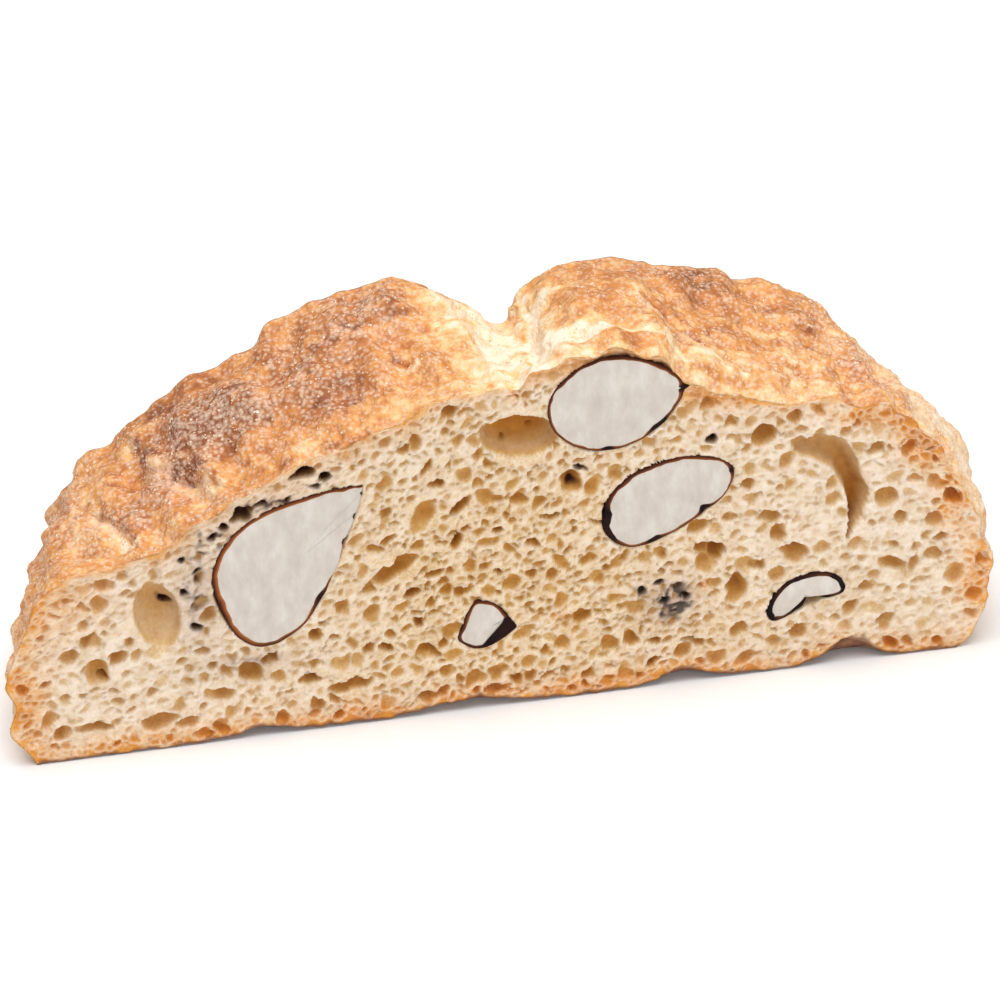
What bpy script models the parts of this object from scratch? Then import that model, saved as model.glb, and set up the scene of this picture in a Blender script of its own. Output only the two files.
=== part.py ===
"""One slice of almond biscotto, cut across a baked loaf and standing on its flat bottom crust.

The slice is one solid of crumb and crust: a loft between its front and back cut edges, with the lumps,
creases and cleft of the crust raised on it and the bubbles of the crumb cut into both faces.
Each almond that the knife went through is a solid of its own, set in a socket of the crumb.
+X runs along the slice, +Y from the front cut face to the back one, +Z up from the tray side.
"""

import math

import bmesh
import bpy
import numpy as np

MM = 0.001

# Driving dimensions
THICKNESS = 22.0 * MM
HALF = THICKNESS / 2
FIT_GAP = 0.3 * MM
END_BULGE = 1.6 * MM

# Mesh fineness: points for each span of the cut edge, along the base, and from face to face
SPAN_POINTS = 5
BASE_POINTS = 30
ACROSS = 16

# The cut edge of the crust, from the left foot over the top to the right foot, in millimetres:
# front x, front z, back x, back z
CUT_EDGE = (
    (-51.0, 0.0, -48.5, 0.0),  # left foot
    (-53.3, 4.5, -49.3, 4.0),
    (-53.8, 10.0, -48.2, 8.5),  # left end, upright
    (-52.0, 16.5, -46.6, 13.0),
    (-48.6, 22.6, -45.8, 18.0),
    (-43.0, 23.8, -43.5, 21.8),  # left shoulder
    (-38.0, 25.2, -38.8, 26.0),
    (-31.0, 29.2, -32.5, 30.0),  # foot of the big lump
    (-23.0, 33.8, -24.0, 35.0),
    (-12.0, 38.0, -16.0, 39.4),  # brow
    (-5.0, 40.3, -8.5, 40.8),
    (-0.5, 40.6, -2.0, 37.5),
    (3.6, 42.6, 2.6, 34.4),  # cleft, deep at the back only
    (9.8, 44.3, 8.0, 39.6),  # crown, over the upper almond
    (15.2, 43.2, 12.5, 40.2),
    (18.8, 40.2, 17.5, 39.4),
    (26.0, 37.2, 26.0, 37.8),
    (35.0, 33.6, 34.0, 34.2),
    (40.5, 32.6, 40.0, 28.8),  # right shoulder
    (46.0, 26.0, 46.0, 22.0),
    (50.0, 18.2, 49.6, 15.5),
    (52.4, 9.5, 51.0, 8.0),  # right end, upright
    (51.4, 2.6, 50.3, 2.5),
    (48.8, 0.0, 48.5, 0.0),  # right foot
)

# Lumps of the crust seen from above: x, y, half width along x and y, rise, in millimetres
LUMPS = (
    (-29.0, 2.0, 6.5, 6.0, 2.4),  # boulder
    (-10.5, 6.5, 6.0, 4.5, 1.6),  # brow
    (-17.5, -1.0, 6.0, 6.0, 0.9),
    (-42.5, 4.5, 4.0, 5.5, 1.3),  # low lump at the left
    (-38.5, -4.5, 3.0, 3.0, 0.9),  # flap
    (0.5, 2.5, 4.0, 6.0, -1.9),  # cleft
    (10.5, 1.0, 5.0, 6.0, 1.2),
    (20.0, 5.0, 6.5, 5.0, 1.5),  # crown of the right lobe
    (26.5, 7.5, 1.8, 2.0, 1.1),  # nodule
    (34.0, 3.0, 4.5, 5.0, 0.9),
    (48.5, 0.5, 2.6, 3.0, 1.0),  # nodule of the right end
    (-52.5, 2.0, 2.5, 4.0, 0.8),
)

# Creases and tears of the crust seen from above: start x, y, end x, y, half width, depth, in millimetres
CREASES = (
    (-36.5, 5.0, -31.0, -6.0, 1.3, 1.5),  # under the boulder
    (-41.0, -1.5, -39.5, -7.5, 0.9, 0.9),  # behind the flap
    (16.8, 7.0, 21.5, -5.0, 0.8, 0.8),  # crack over the right lobe
    (10.5, -1.0, 13.5, -4.5, 0.8, 0.6),
    (19.0, -7.5, 35.0, -7.0, 1.0, 0.7),  # tear along the front edge
    (2.5, -6.0, 16.5, -8.0, 0.8, 0.6),  # step behind the lip over the upper almond
)

# Where the tray side is lifted off along a cut edge: x, half width, rise, in millimetres
FRONT_LIFTS = ((-27.0, 3.0, 1.0), (-5.0, 5.0, 1.2), (18.5, 2.8, 1.7), (36.8, 3.0, 2.8))
BACK_LIFTS = ((-33.0, 4.0, 1.2), (-8.0, 3.0, 0.8), (12.0, 5.0, 1.4), (33.0, 3.0, 1.1))
LIFT_REACH = 3.0 * MM

# Small knobs all over the crust: how many waves make them, their lengths and their height, in millimetres
KNOB_WAVES = 14
KNOB_LENGTHS = (3.2, 7.5)
KNOB_HEIGHT = 0.11
KNOB_SEED = 5

# Almonds: name, face (-1 front, 1 back), centre x and z, angle in degrees, length, width,
# bluntness of the foot and the tip, bend, depth into the crumb; sizes in millimetres
ALMONDS = (
    ("almond_left", -1, -22.1, 21.5, 56.0, 21.9, 12.6, 0.57, 0.94, 2.7, 5.5),
    ("almond_crown", -1, 10.8, 37.3, 7.0, 14.2, 11.2, 0.53, 0.65, -0.2, 8.5),
    ("almond_middle", -1, 16.7, 24.0, 25.0, 14.8, 9.2, 0.42, 0.72, 0.7, 7.5),
    ("almond_small", -1, -2.2, 11.3, -21.0, 6.2, 5.8, 0.56, 1.15, -0.9, 4.0),
    ("almond_bean", -1, 31.8, 8.9, 22.0, 8.6, 4.0, 0.41, 0.36, 1.2, 4.5),
    ("almond_back_left", 1, -24.0, 20.0, 130.0, 15.0, 9.4, 0.50, 0.72, 0.8, 7.5),
    ("almond_back_middle", 1, 5.0, 21.5, 12.0, 17.5, 10.0, 0.52, 0.85, 1.0, 5.5),
    ("almond_back_right", 1, 34.0, 15.0, -35.0, 10.5, 7.0, 0.48, 0.66, 0.5, 6.0),
)
KERNEL_SIDES = 26
KERNEL_RINGS = 5

# Large bubbles that the knife opened in the front face: x, z, half width, half height, tilt in degrees,
# depth; sizes in millimetres
BUBBLES = (
    (-37.7, 17.2, 2.1, 4.1, 8.0, 3.2),
    (0.6, 34.3, 4.2, 2.4, -8.0, 3.4),
    (-44.2, 10.8, 1.5, 1.3, 0.0, 1.6),
    (-47.2, 13.4, 1.0, 1.0, 0.0, 1.2),
    (-41.2, 14.6, 0.9, 0.8, 0.0, 1.0),
    (-44.8, 3.9, 2.2, 0.9, -8.0, 1.4),
    (-38.0, 3.6, 2.0, 1.0, 15.0, 1.4),
    (-31.0, 5.8, 1.4, 1.0, 20.0, 1.4),
    (-26.3, 8.6, 2.4, 1.5, 30.0, 1.8),
    (-19.4, 6.0, 2.6, 1.0, 8.0, 1.4),
    (-20.6, 10.9, 1.3, 1.1, 0.0, 1.5),
    (-9.2, 26.0, 1.3, 2.6, -28.0, 1.8),
    (-14.6, 19.2, 2.8, 1.1, 30.0, 1.5),
    (-6.6, 24.6, 1.6, 0.8, 35.0, 1.3),
    (-33.6, 24.8, 1.0, 0.8, 30.0, 1.3),
    (8.0, 27.2, 1.5, 1.4, 0.0, 1.6),
    (26.7, 30.7, 1.6, 1.5, 20.0, 1.9),
    (21.4, 31.2, 0.8, 0.7, 0.0, 1.6),
    (21.1, 17.0, 2.1, 1.6, 0.0, 1.9),
    (24.4, 11.0, 1.7, 2.7, -5.0, 1.9),
    (27.6, 20.3, 1.4, 1.2, 0.0, 1.4),
    (30.6, 15.4, 1.5, 1.4, 0.0, 1.5),
    (24.4, 5.2, 1.1, 1.0, 0.0, 1.2),
    (40.1, 20.7, 1.4, 1.5, -20.0, 1.4),
    (41.2, 12.0, 1.9, 0.8, -25.0, 1.3),
    (48.0, 9.8, 1.5, 1.2, 15.0, 1.1),
    (16.5, 11.2, 2.2, 1.5, -10.0, 1.3),
    (36.8, 7.2, 1.4, 0.9, 30.0, 1.2),
)
# The curved bubble at the right: centre of its arc, radius, angles from tip to tip, width, depth
CRESCENT = (29.2, 21.3, 7.6, 100.0, -36.0, 3.9, 3.6)
CRESCENT_STATIONS = 9

# Bubbles of the back face: how many, half widths, clear space round each and under the crust, in millimetres
BACK_BUBBLES = 34
BACK_BUBBLE_SIZES = (0.9, 2.4)
BACK_BUBBLE_SPACE = 1.0
BACK_BUBBLE_RIND = 2.2
BACK_SEED = 41
BUBBLE_SIDES = 10
BUBBLE_RINGS = 6

CRUST_COLOUR = (0.62, 0.31, 0.12)
ALMOND_COLOUR = (0.74, 0.68, 0.56)


def clear_scene():
    """Remove whatever the scene starts with."""
    for item in list(bpy.data.objects):
        bpy.data.objects.remove(item, do_unlink=True)


def food_material(name, colour, roughness):
    """A plain opaque food surface."""
    material = bpy.data.materials.new(name)
    material.use_nodes = True
    shader = material.node_tree.nodes["Principled BSDF"]
    shader.inputs["Base Color"].default_value = (*colour, 1.0)
    shader.inputs["Roughness"].default_value = roughness
    shader.inputs["Metallic"].default_value = 0.0
    material.diffuse_color = (*colour, 1.0)
    return material


def mesh_object(name, points, faces, material=None):
    """An object from its points in metres and its faces, linked to the scene."""
    mesh = bpy.data.meshes.new(name)
    mesh.from_pydata([tuple(point) for point in points], [], faces)
    mesh.validate()
    if material:
        mesh.materials.append(material)
    item = bpy.data.objects.new(name, mesh)
    bpy.context.scene.collection.objects.link(item)
    return item


def turn_outward(item):
    """Make the faces of each closed shell in a mesh point away from its inside."""
    shape = bmesh.new()
    shape.from_mesh(item.data)
    bmesh.ops.recalc_face_normals(shape, faces=shape.faces)
    shape.to_mesh(item.data)
    shape.free()


def smooth_edge(rows, points):
    """A Catmull-Rom curve through the rows, with so many points for each span."""
    rows = np.array(rows)
    ends = np.vstack([2 * rows[0] - rows[1], rows, 2 * rows[-1] - rows[-2]])
    t = np.linspace(0.0, 1.0, points, endpoint=False)[:, None]
    spans = []
    for a, b, c, d in zip(ends, ends[1:], ends[2:], ends[3:]):
        bend = 2 * a - 5 * b + 4 * c - d
        twist = 3 * b - a - 3 * c + d
        spans.append(0.5 * (2 * b + (c - a) * t + bend * t**2 + twist * t**3))
    return np.vstack(spans + [rows[-1:]])


def crust_relief(x, y):
    """How far the crust stands out of the plain loft at a place seen from above, all in metres."""
    rise = np.zeros_like(x)
    for lump_x, lump_y, wide, deep, height in LUMPS:
        reach = ((x / MM - lump_x) / wide) ** 2 + ((y / MM - lump_y) / deep) ** 2
        rise += height * np.exp(-reach)
    for x0, y0, x1, y1, half_width, depth in CREASES:
        run = (x1 - x0) ** 2 + (y1 - y0) ** 2
        along = np.clip(((x / MM - x0) * (x1 - x0) + (y / MM - y0) * (y1 - y0)) / run, 0.0, 1.0)
        away = (x / MM - x0 - along * (x1 - x0)) ** 2 + (y / MM - y0 - along * (y1 - y0)) ** 2
        rise -= depth * np.exp(-away / half_width**2)
    return rise * MM


def crust_knobs(along, y):
    """Knobs of the baked skin: a sum of seeded cosine waves over the way along the edge and across it."""
    rng = np.random.default_rng(KNOB_SEED)
    rise = np.zeros_like(along)
    for _ in range(KNOB_WAVES):
        length = rng.uniform(*KNOB_LENGTHS) * MM
        turn = rng.uniform(0.0, math.pi)
        phase = rng.uniform(0.0, 2 * math.pi)
        rise += np.cos(2 * math.pi * (along * math.cos(turn) + y * math.sin(turn)) / length + phase)
    return rise * KNOB_HEIGHT * MM


def base_lift(x, y):
    """How far the tray side is lifted near a cut edge, falling to nothing a little way in."""
    near_edge = np.clip((abs(y) - HALF + LIFT_REACH) / LIFT_REACH, 0.0, 1.0) ** 2
    lift = np.zeros_like(x)
    for place, half_width, rise in FRONT_LIFTS if y < 0 else BACK_LIFTS:
        lift += rise * MM * np.exp(-(((x / MM - place) / half_width) ** 2))
    return near_edge * lift


def section(y, edge):
    """The closed outline of the slice at one depth: over the crust, then back along the tray side."""
    share = (y + HALF) / THICKNESS
    top = (edge[:, :2] * (1.0 - share) + edge[:, 2:] * share) * MM
    middle = 1.0 - (y / HALF) ** 2
    slope = np.gradient(top, axis=0)
    outward = np.stack([-slope[:, 1], slope[:, 0]], axis=1)
    outward /= np.linalg.norm(outward, axis=1)[:, None]
    above = np.clip(top[:, 1] / (4.0 * MM), 0.0, 1.0)
    bulge = END_BULGE * middle * outward[:, 0].clip(0.0, 1.0) * above
    depth = np.full(len(top), y)
    steps = np.linalg.norm(np.diff(edge[:, :2] + edge[:, 2:], axis=0), axis=1) / 2
    along = np.append(0.0, np.cumsum(steps)) * MM
    relief = (crust_relief(top[:, 0], depth) + crust_knobs(along, depth)) * above
    top = top + outward * (relief + bulge)[:, None]
    base_x = np.linspace(top[-1, 0], top[0, 0], BASE_POINTS + 2)[1:-1]
    base = np.stack([base_x, base_lift(base_x, y)], axis=1)
    return np.vstack([top, base])


def biscuit_blank(material):
    """The slice before its bubbles and sockets: sections from the front face to the back, and two caps."""
    edge = smooth_edge(CUT_EDGE, SPAN_POINTS)
    depths = -HALF * np.cos(np.linspace(0.0, math.pi, ACROSS + 1))
    sections = [section(y, edge) for y in depths]
    around = len(sections[0])
    points = [(x, y, z) for y, outline in zip(depths, sections) for x, z in outline]
    faces = [tuple(range(around)), tuple(reversed(range(ACROSS * around, (ACROSS + 1) * around)))]
    for row in range(ACROSS):
        for step in range(around):
            a = row * around + step
            b = row * around + (step + 1) % around
            faces.append((a, a + around, b + around, b))
    item = mesh_object("biscuit", points, faces, material)
    shape = bmesh.new()
    shape.from_mesh(item.data)
    flat = [face for face in shape.faces if all(vert.co.z < 1e-9 for vert in face.verts)]
    inner = {edge for face in flat for edge in face.edges if all(other in flat for other in edge.link_faces)}
    bmesh.ops.dissolve_edges(shape, edges=list(inner), use_verts=False)
    bmesh.ops.recalc_face_normals(shape, faces=shape.faces)
    shape.to_mesh(item.data)
    shape.free()
    return item


def kernel_outline(x, z, angle, length, width, foot, tip, bend, grow=0.0):
    """The cut outline of an almond: its width runs as share**foot * (1 - share)**tip along its length."""
    t = np.linspace(0.0, 2 * math.pi, KERNEL_SIDES, endpoint=False)
    share = (1.0 - np.cos(t)) / 2
    widest = (foot / (foot + tip)) ** foot * (tip / (foot + tip)) ** tip
    half = width / 2 * np.maximum(share, 0.0) ** foot * np.maximum(1.0 - share, 0.0) ** tip / widest
    along = (share - 0.5) * length
    across = np.sign(np.sin(t)).round() * half + bend * 4 * share * (1.0 - share)
    turn = math.radians(angle)
    outline_x = along * math.cos(turn) - across * math.sin(turn)
    outline_z = along * math.sin(turn) + across * math.cos(turn)
    outline = np.stack([outline_x, outline_z], axis=1)
    if grow:
        tangent = np.roll(outline, -1, axis=0) - np.roll(outline, 1, axis=0)
        normal = np.stack([tangent[:, 1], -tangent[:, 0]], axis=1)
        normal /= np.linalg.norm(normal, axis=1)[:, None]
        inward = (normal * (outline - outline.mean(axis=0))).sum(axis=1) < 0
        normal[inward] *= -1
        outline = outline + normal * grow
    return outline + (x, z)


def kernel_body(name, face, outline, depth, proud, material=None):
    """A closed dome behind an outline in a cut face: rings shrink as a quarter circle goes in to the depth."""
    centre = outline.mean(axis=0)
    levels = [(1.0, -proud)] if proud else []
    for step in range(KERNEL_RINGS):
        turn = step / KERNEL_RINGS * math.pi / 2
        levels.append((math.cos(turn), depth * math.sin(turn)))
    points = []
    for scale, inward in levels:
        for x, z in centre + (outline - centre) * scale:
            points.append((x * MM, face * (HALF - inward * MM), z * MM))
    points.append((centre[0] * MM, face * (HALF - depth * MM), centre[1] * MM))
    sides = len(outline)
    faces = [tuple(range(sides))]
    for row in range(len(levels) - 1):
        for step in range(sides):
            a = row * sides + step
            b = row * sides + (step + 1) % sides
            faces.append((a, b, b + sides, a + sides))
    last = (len(levels) - 1) * sides
    for step in range(sides):
        faces.append((last + step, last + (step + 1) % sides, len(points) - 1))
    item = mesh_object(name, points, faces, material)
    turn_outward(item)
    return item


def bubble_shell(face, x, z, wide, high, tilt, depth):
    """Points and faces of an ellipsoid centred in a cut face, in millimetres."""
    turn = math.radians(tilt)
    points = [(0.0, -depth, 0.0)]
    for ring in range(1, BUBBLE_RINGS):
        polar = math.pi * ring / BUBBLE_RINGS
        for side in range(BUBBLE_SIDES):
            around = 2 * math.pi * side / BUBBLE_SIDES
            across = wide * math.sin(polar) * math.cos(around)
            up = high * math.sin(polar) * math.sin(around)
            place_x = across * math.cos(turn) - up * math.sin(turn)
            place_z = across * math.sin(turn) + up * math.cos(turn)
            points.append((place_x, -depth * math.cos(polar), place_z))
    points.append((0.0, depth, 0.0))
    points = [((x + px) * MM, face * HALF + py * MM, (z + pz) * MM) for px, py, pz in points]
    last = len(points) - 1
    faces = []
    for side in range(BUBBLE_SIDES):
        after = (side + 1) % BUBBLE_SIDES
        faces.append((0, 1 + side, 1 + after))
        faces.append((last, last - BUBBLE_SIDES + after, last - BUBBLE_SIDES + side))
        for ring in range(BUBBLE_RINGS - 2):
            a = 1 + ring * BUBBLE_SIDES
            faces.append((a + side, a + BUBBLE_SIDES + side, a + BUBBLE_SIDES + after, a + after))
    return points, faces


def crescent_shell():
    """Points and faces of the curved bubble: an ellipse carried along an arc, thinning to both tips."""
    centre_x, centre_z, radius, start, end, width, depth = CRESCENT
    sides = BUBBLE_SIDES
    points = []
    for station in range(1, CRESCENT_STATIONS):
        share = station / CRESCENT_STATIONS
        turn = math.radians(start + (end - start) * share)
        swell = math.sin(math.pi * share) ** 0.6
        for side in range(sides):
            around = 2 * math.pi * side / sides
            reach = radius + width / 2 * swell * math.cos(around)
            place = (centre_x + reach * math.cos(turn), centre_z + reach * math.sin(turn))
            points.append((place[0], depth * swell * math.sin(around), place[1]))
    for turn in (math.radians(start), math.radians(end)):
        points.append((centre_x + radius * math.cos(turn), 0.0, centre_z + radius * math.sin(turn)))
    points = [(px * MM, -HALF + py * MM, pz * MM) for px, py, pz in points]
    first, last = len(points) - 2, len(points) - 1
    faces = []
    for side in range(sides):
        after = (side + 1) % sides
        faces.append((first, side, after))
        faces.append((last, last - 1 - sides + after, last - 1 - sides + side))
        for station in range(CRESCENT_STATIONS - 2):
            a = station * sides
            faces.append((a + side, a + sides + side, a + sides + after, a + after))
    return points, faces


def back_bubbles():
    """Bubbles of the back face: the largest first, each clear of the others, the almonds and the crust."""
    rng = np.random.default_rng(BACK_SEED)
    low, high = BACK_BUBBLE_SIZES
    sizes = sorted(rng.uniform(low**0.5, high**0.5, BACK_BUBBLES) ** 2, reverse=True)
    edge = smooth_edge(CUT_EDGE, SPAN_POINTS)[:, 2:]
    kept = []
    almonds = [(row[2], row[3], row[5] / 2 + 0.6) for row in ALMONDS if row[1] > 0]
    for size in sizes:
        for _ in range(200):
            x = rng.uniform(-46.0, 48.0)
            z = rng.uniform(3.0, 38.0)
            room = np.hypot(edge[:, 0] - x, edge[:, 1] - z).min()
            under_crust = z < np.interp(x, edge[:, 0], edge[:, 1]) and room > size + BACK_BUBBLE_RIND
            taken = [math.hypot(x - px, z - pz) - reach for px, pz, reach in almonds + kept]
            if under_crust and min(taken) > size + BACK_BUBBLE_SPACE:
                kept.append((x, z, size))
                break
    shaped = []
    for x, z, size in kept:
        high = size * rng.uniform(0.55, 0.95)
        shaped.append((x, z, size, high, rng.uniform(-40.0, 40.0), 0.9 * size))
    return shaped


def cutter(name, shells):
    """One hidden cutting object made of separate closed shells."""
    points = []
    faces = []
    for shell_points, shell_faces in shells:
        shift = len(points)
        points += shell_points
        faces += [tuple(index + shift for index in face) for face in shell_faces]
    item = mesh_object(name, points, faces)
    turn_outward(item)
    item.hide_render = True
    item.display_type = "WIRE"
    return item


def cut(item, tool):
    """Take one object's space out of another."""
    modifier = item.modifiers.new(tool.name, "BOOLEAN")
    modifier.operation = "DIFFERENCE"
    modifier.solver = "EXACT"
    modifier.object = tool


def build():
    """Make the biscuit and its almonds."""
    clear_scene()
    crust = food_material("baked_crust", CRUST_COLOUR, 0.85)
    flesh = food_material("almond_flesh", ALMOND_COLOUR, 0.5)
    biscuit = biscuit_blank(crust)
    shells = [bubble_shell(-1, *bubble) for bubble in BUBBLES] + [crescent_shell()]
    shells += [bubble_shell(1, *bubble) for bubble in back_bubbles()]
    cut(biscuit, cutter("bubbles_cutter", shells))
    for name, face, x, z, angle, length, width, foot, tip, bend, depth in ALMONDS:
        outline = kernel_outline(x, z, angle, length, width, foot, tip, bend)
        kernel_body(name, face, outline, depth, 0.0, flesh)
        gap = FIT_GAP / MM
        socket_outline = kernel_outline(x, z, angle, length, width, foot, tip, bend, gap * 1.3)
        socket = kernel_body(name + "_socket", face, socket_outline, depth + gap * 1.3, 1.0)
        socket.hide_render = True
        socket.display_type = "WIRE"
        cut(biscuit, socket)


build()
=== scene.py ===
import itertools
import math

import bpy
import numpy as np
from mathutils import Matrix, Vector


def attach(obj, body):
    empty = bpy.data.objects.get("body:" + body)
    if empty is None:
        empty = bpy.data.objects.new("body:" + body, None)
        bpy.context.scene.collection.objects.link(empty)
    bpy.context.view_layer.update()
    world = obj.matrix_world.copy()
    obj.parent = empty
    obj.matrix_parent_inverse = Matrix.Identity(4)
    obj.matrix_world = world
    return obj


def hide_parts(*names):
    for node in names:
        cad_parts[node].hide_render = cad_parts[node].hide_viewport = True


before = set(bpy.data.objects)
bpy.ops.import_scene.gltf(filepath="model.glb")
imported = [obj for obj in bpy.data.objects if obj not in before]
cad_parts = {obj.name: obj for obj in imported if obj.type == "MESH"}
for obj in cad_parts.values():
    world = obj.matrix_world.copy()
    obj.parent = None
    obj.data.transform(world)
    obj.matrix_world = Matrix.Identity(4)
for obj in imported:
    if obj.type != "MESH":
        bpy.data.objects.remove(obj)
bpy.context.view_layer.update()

# The slice as a whole: a piece of a baked log, 22 mm thick between two knife cuts. Its skin runs from
# the front cut edge to the back one, with the lumps, creases and knobs that the dough made as it rose
# and split in the oven. All sizes are in millimetres until a mesh is made.
HALF = 11.0  # half its thickness, so that the cuts lie at y = -HALF and y = HALF
END_BULGE = 1.6  # of both ends, midway between the cuts
CUT_EDGE = np.array((
    (-51.0, 0.0, -48.5, 0.0),  # left foot: front x and z, back x and z
    (-52.9, 4.3, -49.3, 4.0),
    (-53.8, 10.0, -48.2, 8.5),  # left end, upright
    (-52.0, 16.5, -46.6, 13.0),
    (-48.6, 22.6, -45.5, 17.3),
    (-43.0, 23.8, -43.2, 20.9),  # left shoulder
    (-38.0, 25.2, -38.6, 25.4),
    (-31.0, 29.2, -32.5, 30.0),  # foot of the big lump
    (-23.0, 33.8, -24.0, 35.0),
    (-12.0, 38.0, -16.0, 39.4),  # brow
    (-5.0, 40.3, -7.5, 40.3),
    (-0.5, 40.8, -1.0, 37.3),
    (2.4, 42.5, 3.6, 33.9),  # cleft, deep at the back only
    (5.4, 43.9, 4.9, 37.6),  # its steep right side
    (9.8, 44.6, 9.0, 40.2),  # crown, over the upper almond
    (15.2, 43.4, 13.5, 40.4),
    (18.8, 40.4, 18.5, 39.3),
    (26.0, 37.2, 26.0, 37.1),
    (35.0, 33.6, 34.0, 34.2),
    (40.5, 32.6, 40.2, 27.6),  # right shoulder
    (46.0, 26.0, 46.0, 20.9),
    (50.0, 18.2, 49.6, 15.5),
    (52.1, 9.5, 51.0, 8.0),  # right end, upright
    (50.7, 2.5, 50.0, 2.5),
    (48.8, 0.0, 48.5, 0.0),  # right foot
))
LAST_ROW = len(CUT_EDGE) - 1
LUMPS = (
    (-29.0, 2.0, 6.5, 6.0, 2.4),  # boulder: x, y, half width along x and y, rise
    (-10.5, 6.5, 6.0, 4.5, 1.6),  # brow
    (-17.5, -1.0, 6.0, 6.0, 0.9),
    (-42.5, 4.5, 4.0, 5.5, 1.3),  # low lump at the left
    (-38.5, -4.5, 3.0, 3.0, 0.9),  # flap
    (1.2, 2.5, 3.6, 6.0, -1.5),  # cleft
    (10.5, 1.0, 5.0, 6.0, 0.9),
    (20.0, 5.0, 6.5, 5.0, 1.2),  # crown of the right lobe
    (26.5, 7.5, 1.8, 2.0, 1.1),  # nodule
    (34.0, 3.0, 4.5, 5.0, 0.9),
    (48.5, 0.5, 2.6, 3.0, 1.0),  # nodule of the right end
    (-52.5, 2.0, 2.5, 4.0, 0.2),
)
SMALL_LUMPS = (
    (-46.5, 8.5, 3.5, 3.0, -0.8),  # dip behind the left shoulder
    (-27.0, 9.5, 2.6, 3.0, -1.1),  # and behind the boulder
    (-38.0, 2.2, 1.8, 2.0, -0.9),  # hollow beside the boulder
    (-9.0, -1.2, 1.6, 1.3, 0.6),  # bump over the small crack
    (25.0, 9.0, 1.5, 2.4, 0.7),  # tip of the crown
    (28.6, 9.5, 1.2, 2.6, -0.5),  # notch behind it
    (32.5, 9.0, 1.8, 2.6, 0.7),
    (36.2, 8.0, 1.6, 2.4, 0.5),
    (9.0, -6.4, 4.2, 1.7, -0.6),  # pale dish behind the lip
    (-21.5, 9.5, 2.2, 2.2, 0.5),
    (-15.5, 10.5, 1.4, 2.0, -0.7),
    (-44.0, -3.0, 2.0, 2.5, 0.5),
    (-34.5, -2.2, 0.8, 0.5, -0.9),  # pit beside the flap
    (31.6, 4.3, 1.3, 0.9, -0.35),
)
# Half width, reach, rise on the left of the way, depth of its groove, and the way's places x and y
LEDGES = (
    # Foot of the boulder
    (0.45, 2.2, 0.8, 0.35, (-36.8, 6.5), (-36.3, 4.0), (-35.2, 0.0), (-33.0, -3.0), (-30.5, -6.5)),
    (0.30, 2.0, 0.7, 0.30, (-41.8, -1.0), (-40.8, -4.0), (-39.6, -7.5)),  # flap
    # Rim of the low lump
    (0.25, 1.6, -0.6, 0.20, (-45.0, 0.5), (-41.5, 2.4), (-38.6, 2.2), (-36.8, 0.2), (-35.4, -2.2)),
    (0.20, 0.9, 0.20, 0.40, (-34.0, -2.6), (-31.4, -4.6)),  # cracks beside the flap
    (0.20, 0.8, 0.10, 0.40, (-40.3, -4.0), (-39.2, -7.6)),
    (0.30, 1.8, 0.55, 0.25, (-14.5, 4.8), (-11.5, 3.4), (-8.3, 3.6)),  # foot of the brow
    # Lip over the upper almond
    (0.30, 1.5, -0.4, 0.15, (2.5, -8.8), (6.0, -8.0), (10.5, -7.6), (14.0, -7.8), (17.5, -8.8)),
    (0.22, 1.2, 0.20, 0.42, (16.2, 0.5), (17.0, -1.3), (18.6, -2.7), (20.3, -4.4), (21.3, -5.2)),  # crack
    (0.22, 1.0, 0.15, 0.12, (22.3, -4.8), (24.5, -5.6), (27.5, -6.4), (33.0, -7.0)),  # and its thin end
    # Foot of the right lobe
    (0.30, 1.8, -0.7, 0.30, (4.4, 9.0), (4.2, 4.0), (3.4, -1.0), (2.8, -5.0), (2.6, -8.0)),
    (0.25, 1.2, 0.25, 0.12, (19.5, -9.6), (27.0, -9.4), (36.0, -8.6)),  # layer along the front edge
    (0.25, 1.2, 0.35, 0.20, (-10.6, -2.2), (-9.0, -3.2)),  # small crack
)
KNOB_WAVES = 14
KNOB_LENGTHS = (3.2, 7.5)  # shortest and longest wave
KNOB_HEIGHT = 0.11
KNOB_SEED = 5
CALM_KNOBS = (24.0, -5.0, 11.0, 7.0, 0.6)  # x, y, half width along each, and how much lower they are there
GRAIN_LAYERS = ((2.6, 0.12), (1.4, 0.18), (0.75, 0.16))  # size and height of each layer of the baked grain
GRAIN_STRETCH = (0.8, 1.5, 0.8)  # on x, y and z, where less than 1 draws the grain out
GRAIN_SEED = 90
ROUGH_FLANK = (41.0, 10.0, 0.2)  # x and half width of the crumblier right flank, and how much rougher it is
STREAKS = (27.0, -3.0, 12.0, 6.0, 0.30)  # torn strata: x, y, half width along each, and height
PITS = ((0.75, 0.6), (1.5, 0.3))  # size and depth
PIT_MARGIN = 1.5  # from the cuts, over which the pits fade
FRONT_LIFTS = ((-27.0, 3.0, 1.0), (-5.0, 5.0, 1.2), (18.5, 2.8, 1.7), (36.8, 3.0, 2.8))  # x, half width, rise
BACK_LIFTS = ((-33.0, 4.0, 1.2), (-8.0, 3.0, 0.8), (12.0, 5.0, 1.4), (33.0, 3.0, 1.1))
LIFT_REACH = 3.0  # inwards from the cuts
# Where the crust rolls over the front edge: x, half width, drop and reach
ROLLS = ((9.5, 8.5, 1.1, 3.0), (23.5, 7.0, 2.2, 3.6))


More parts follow.
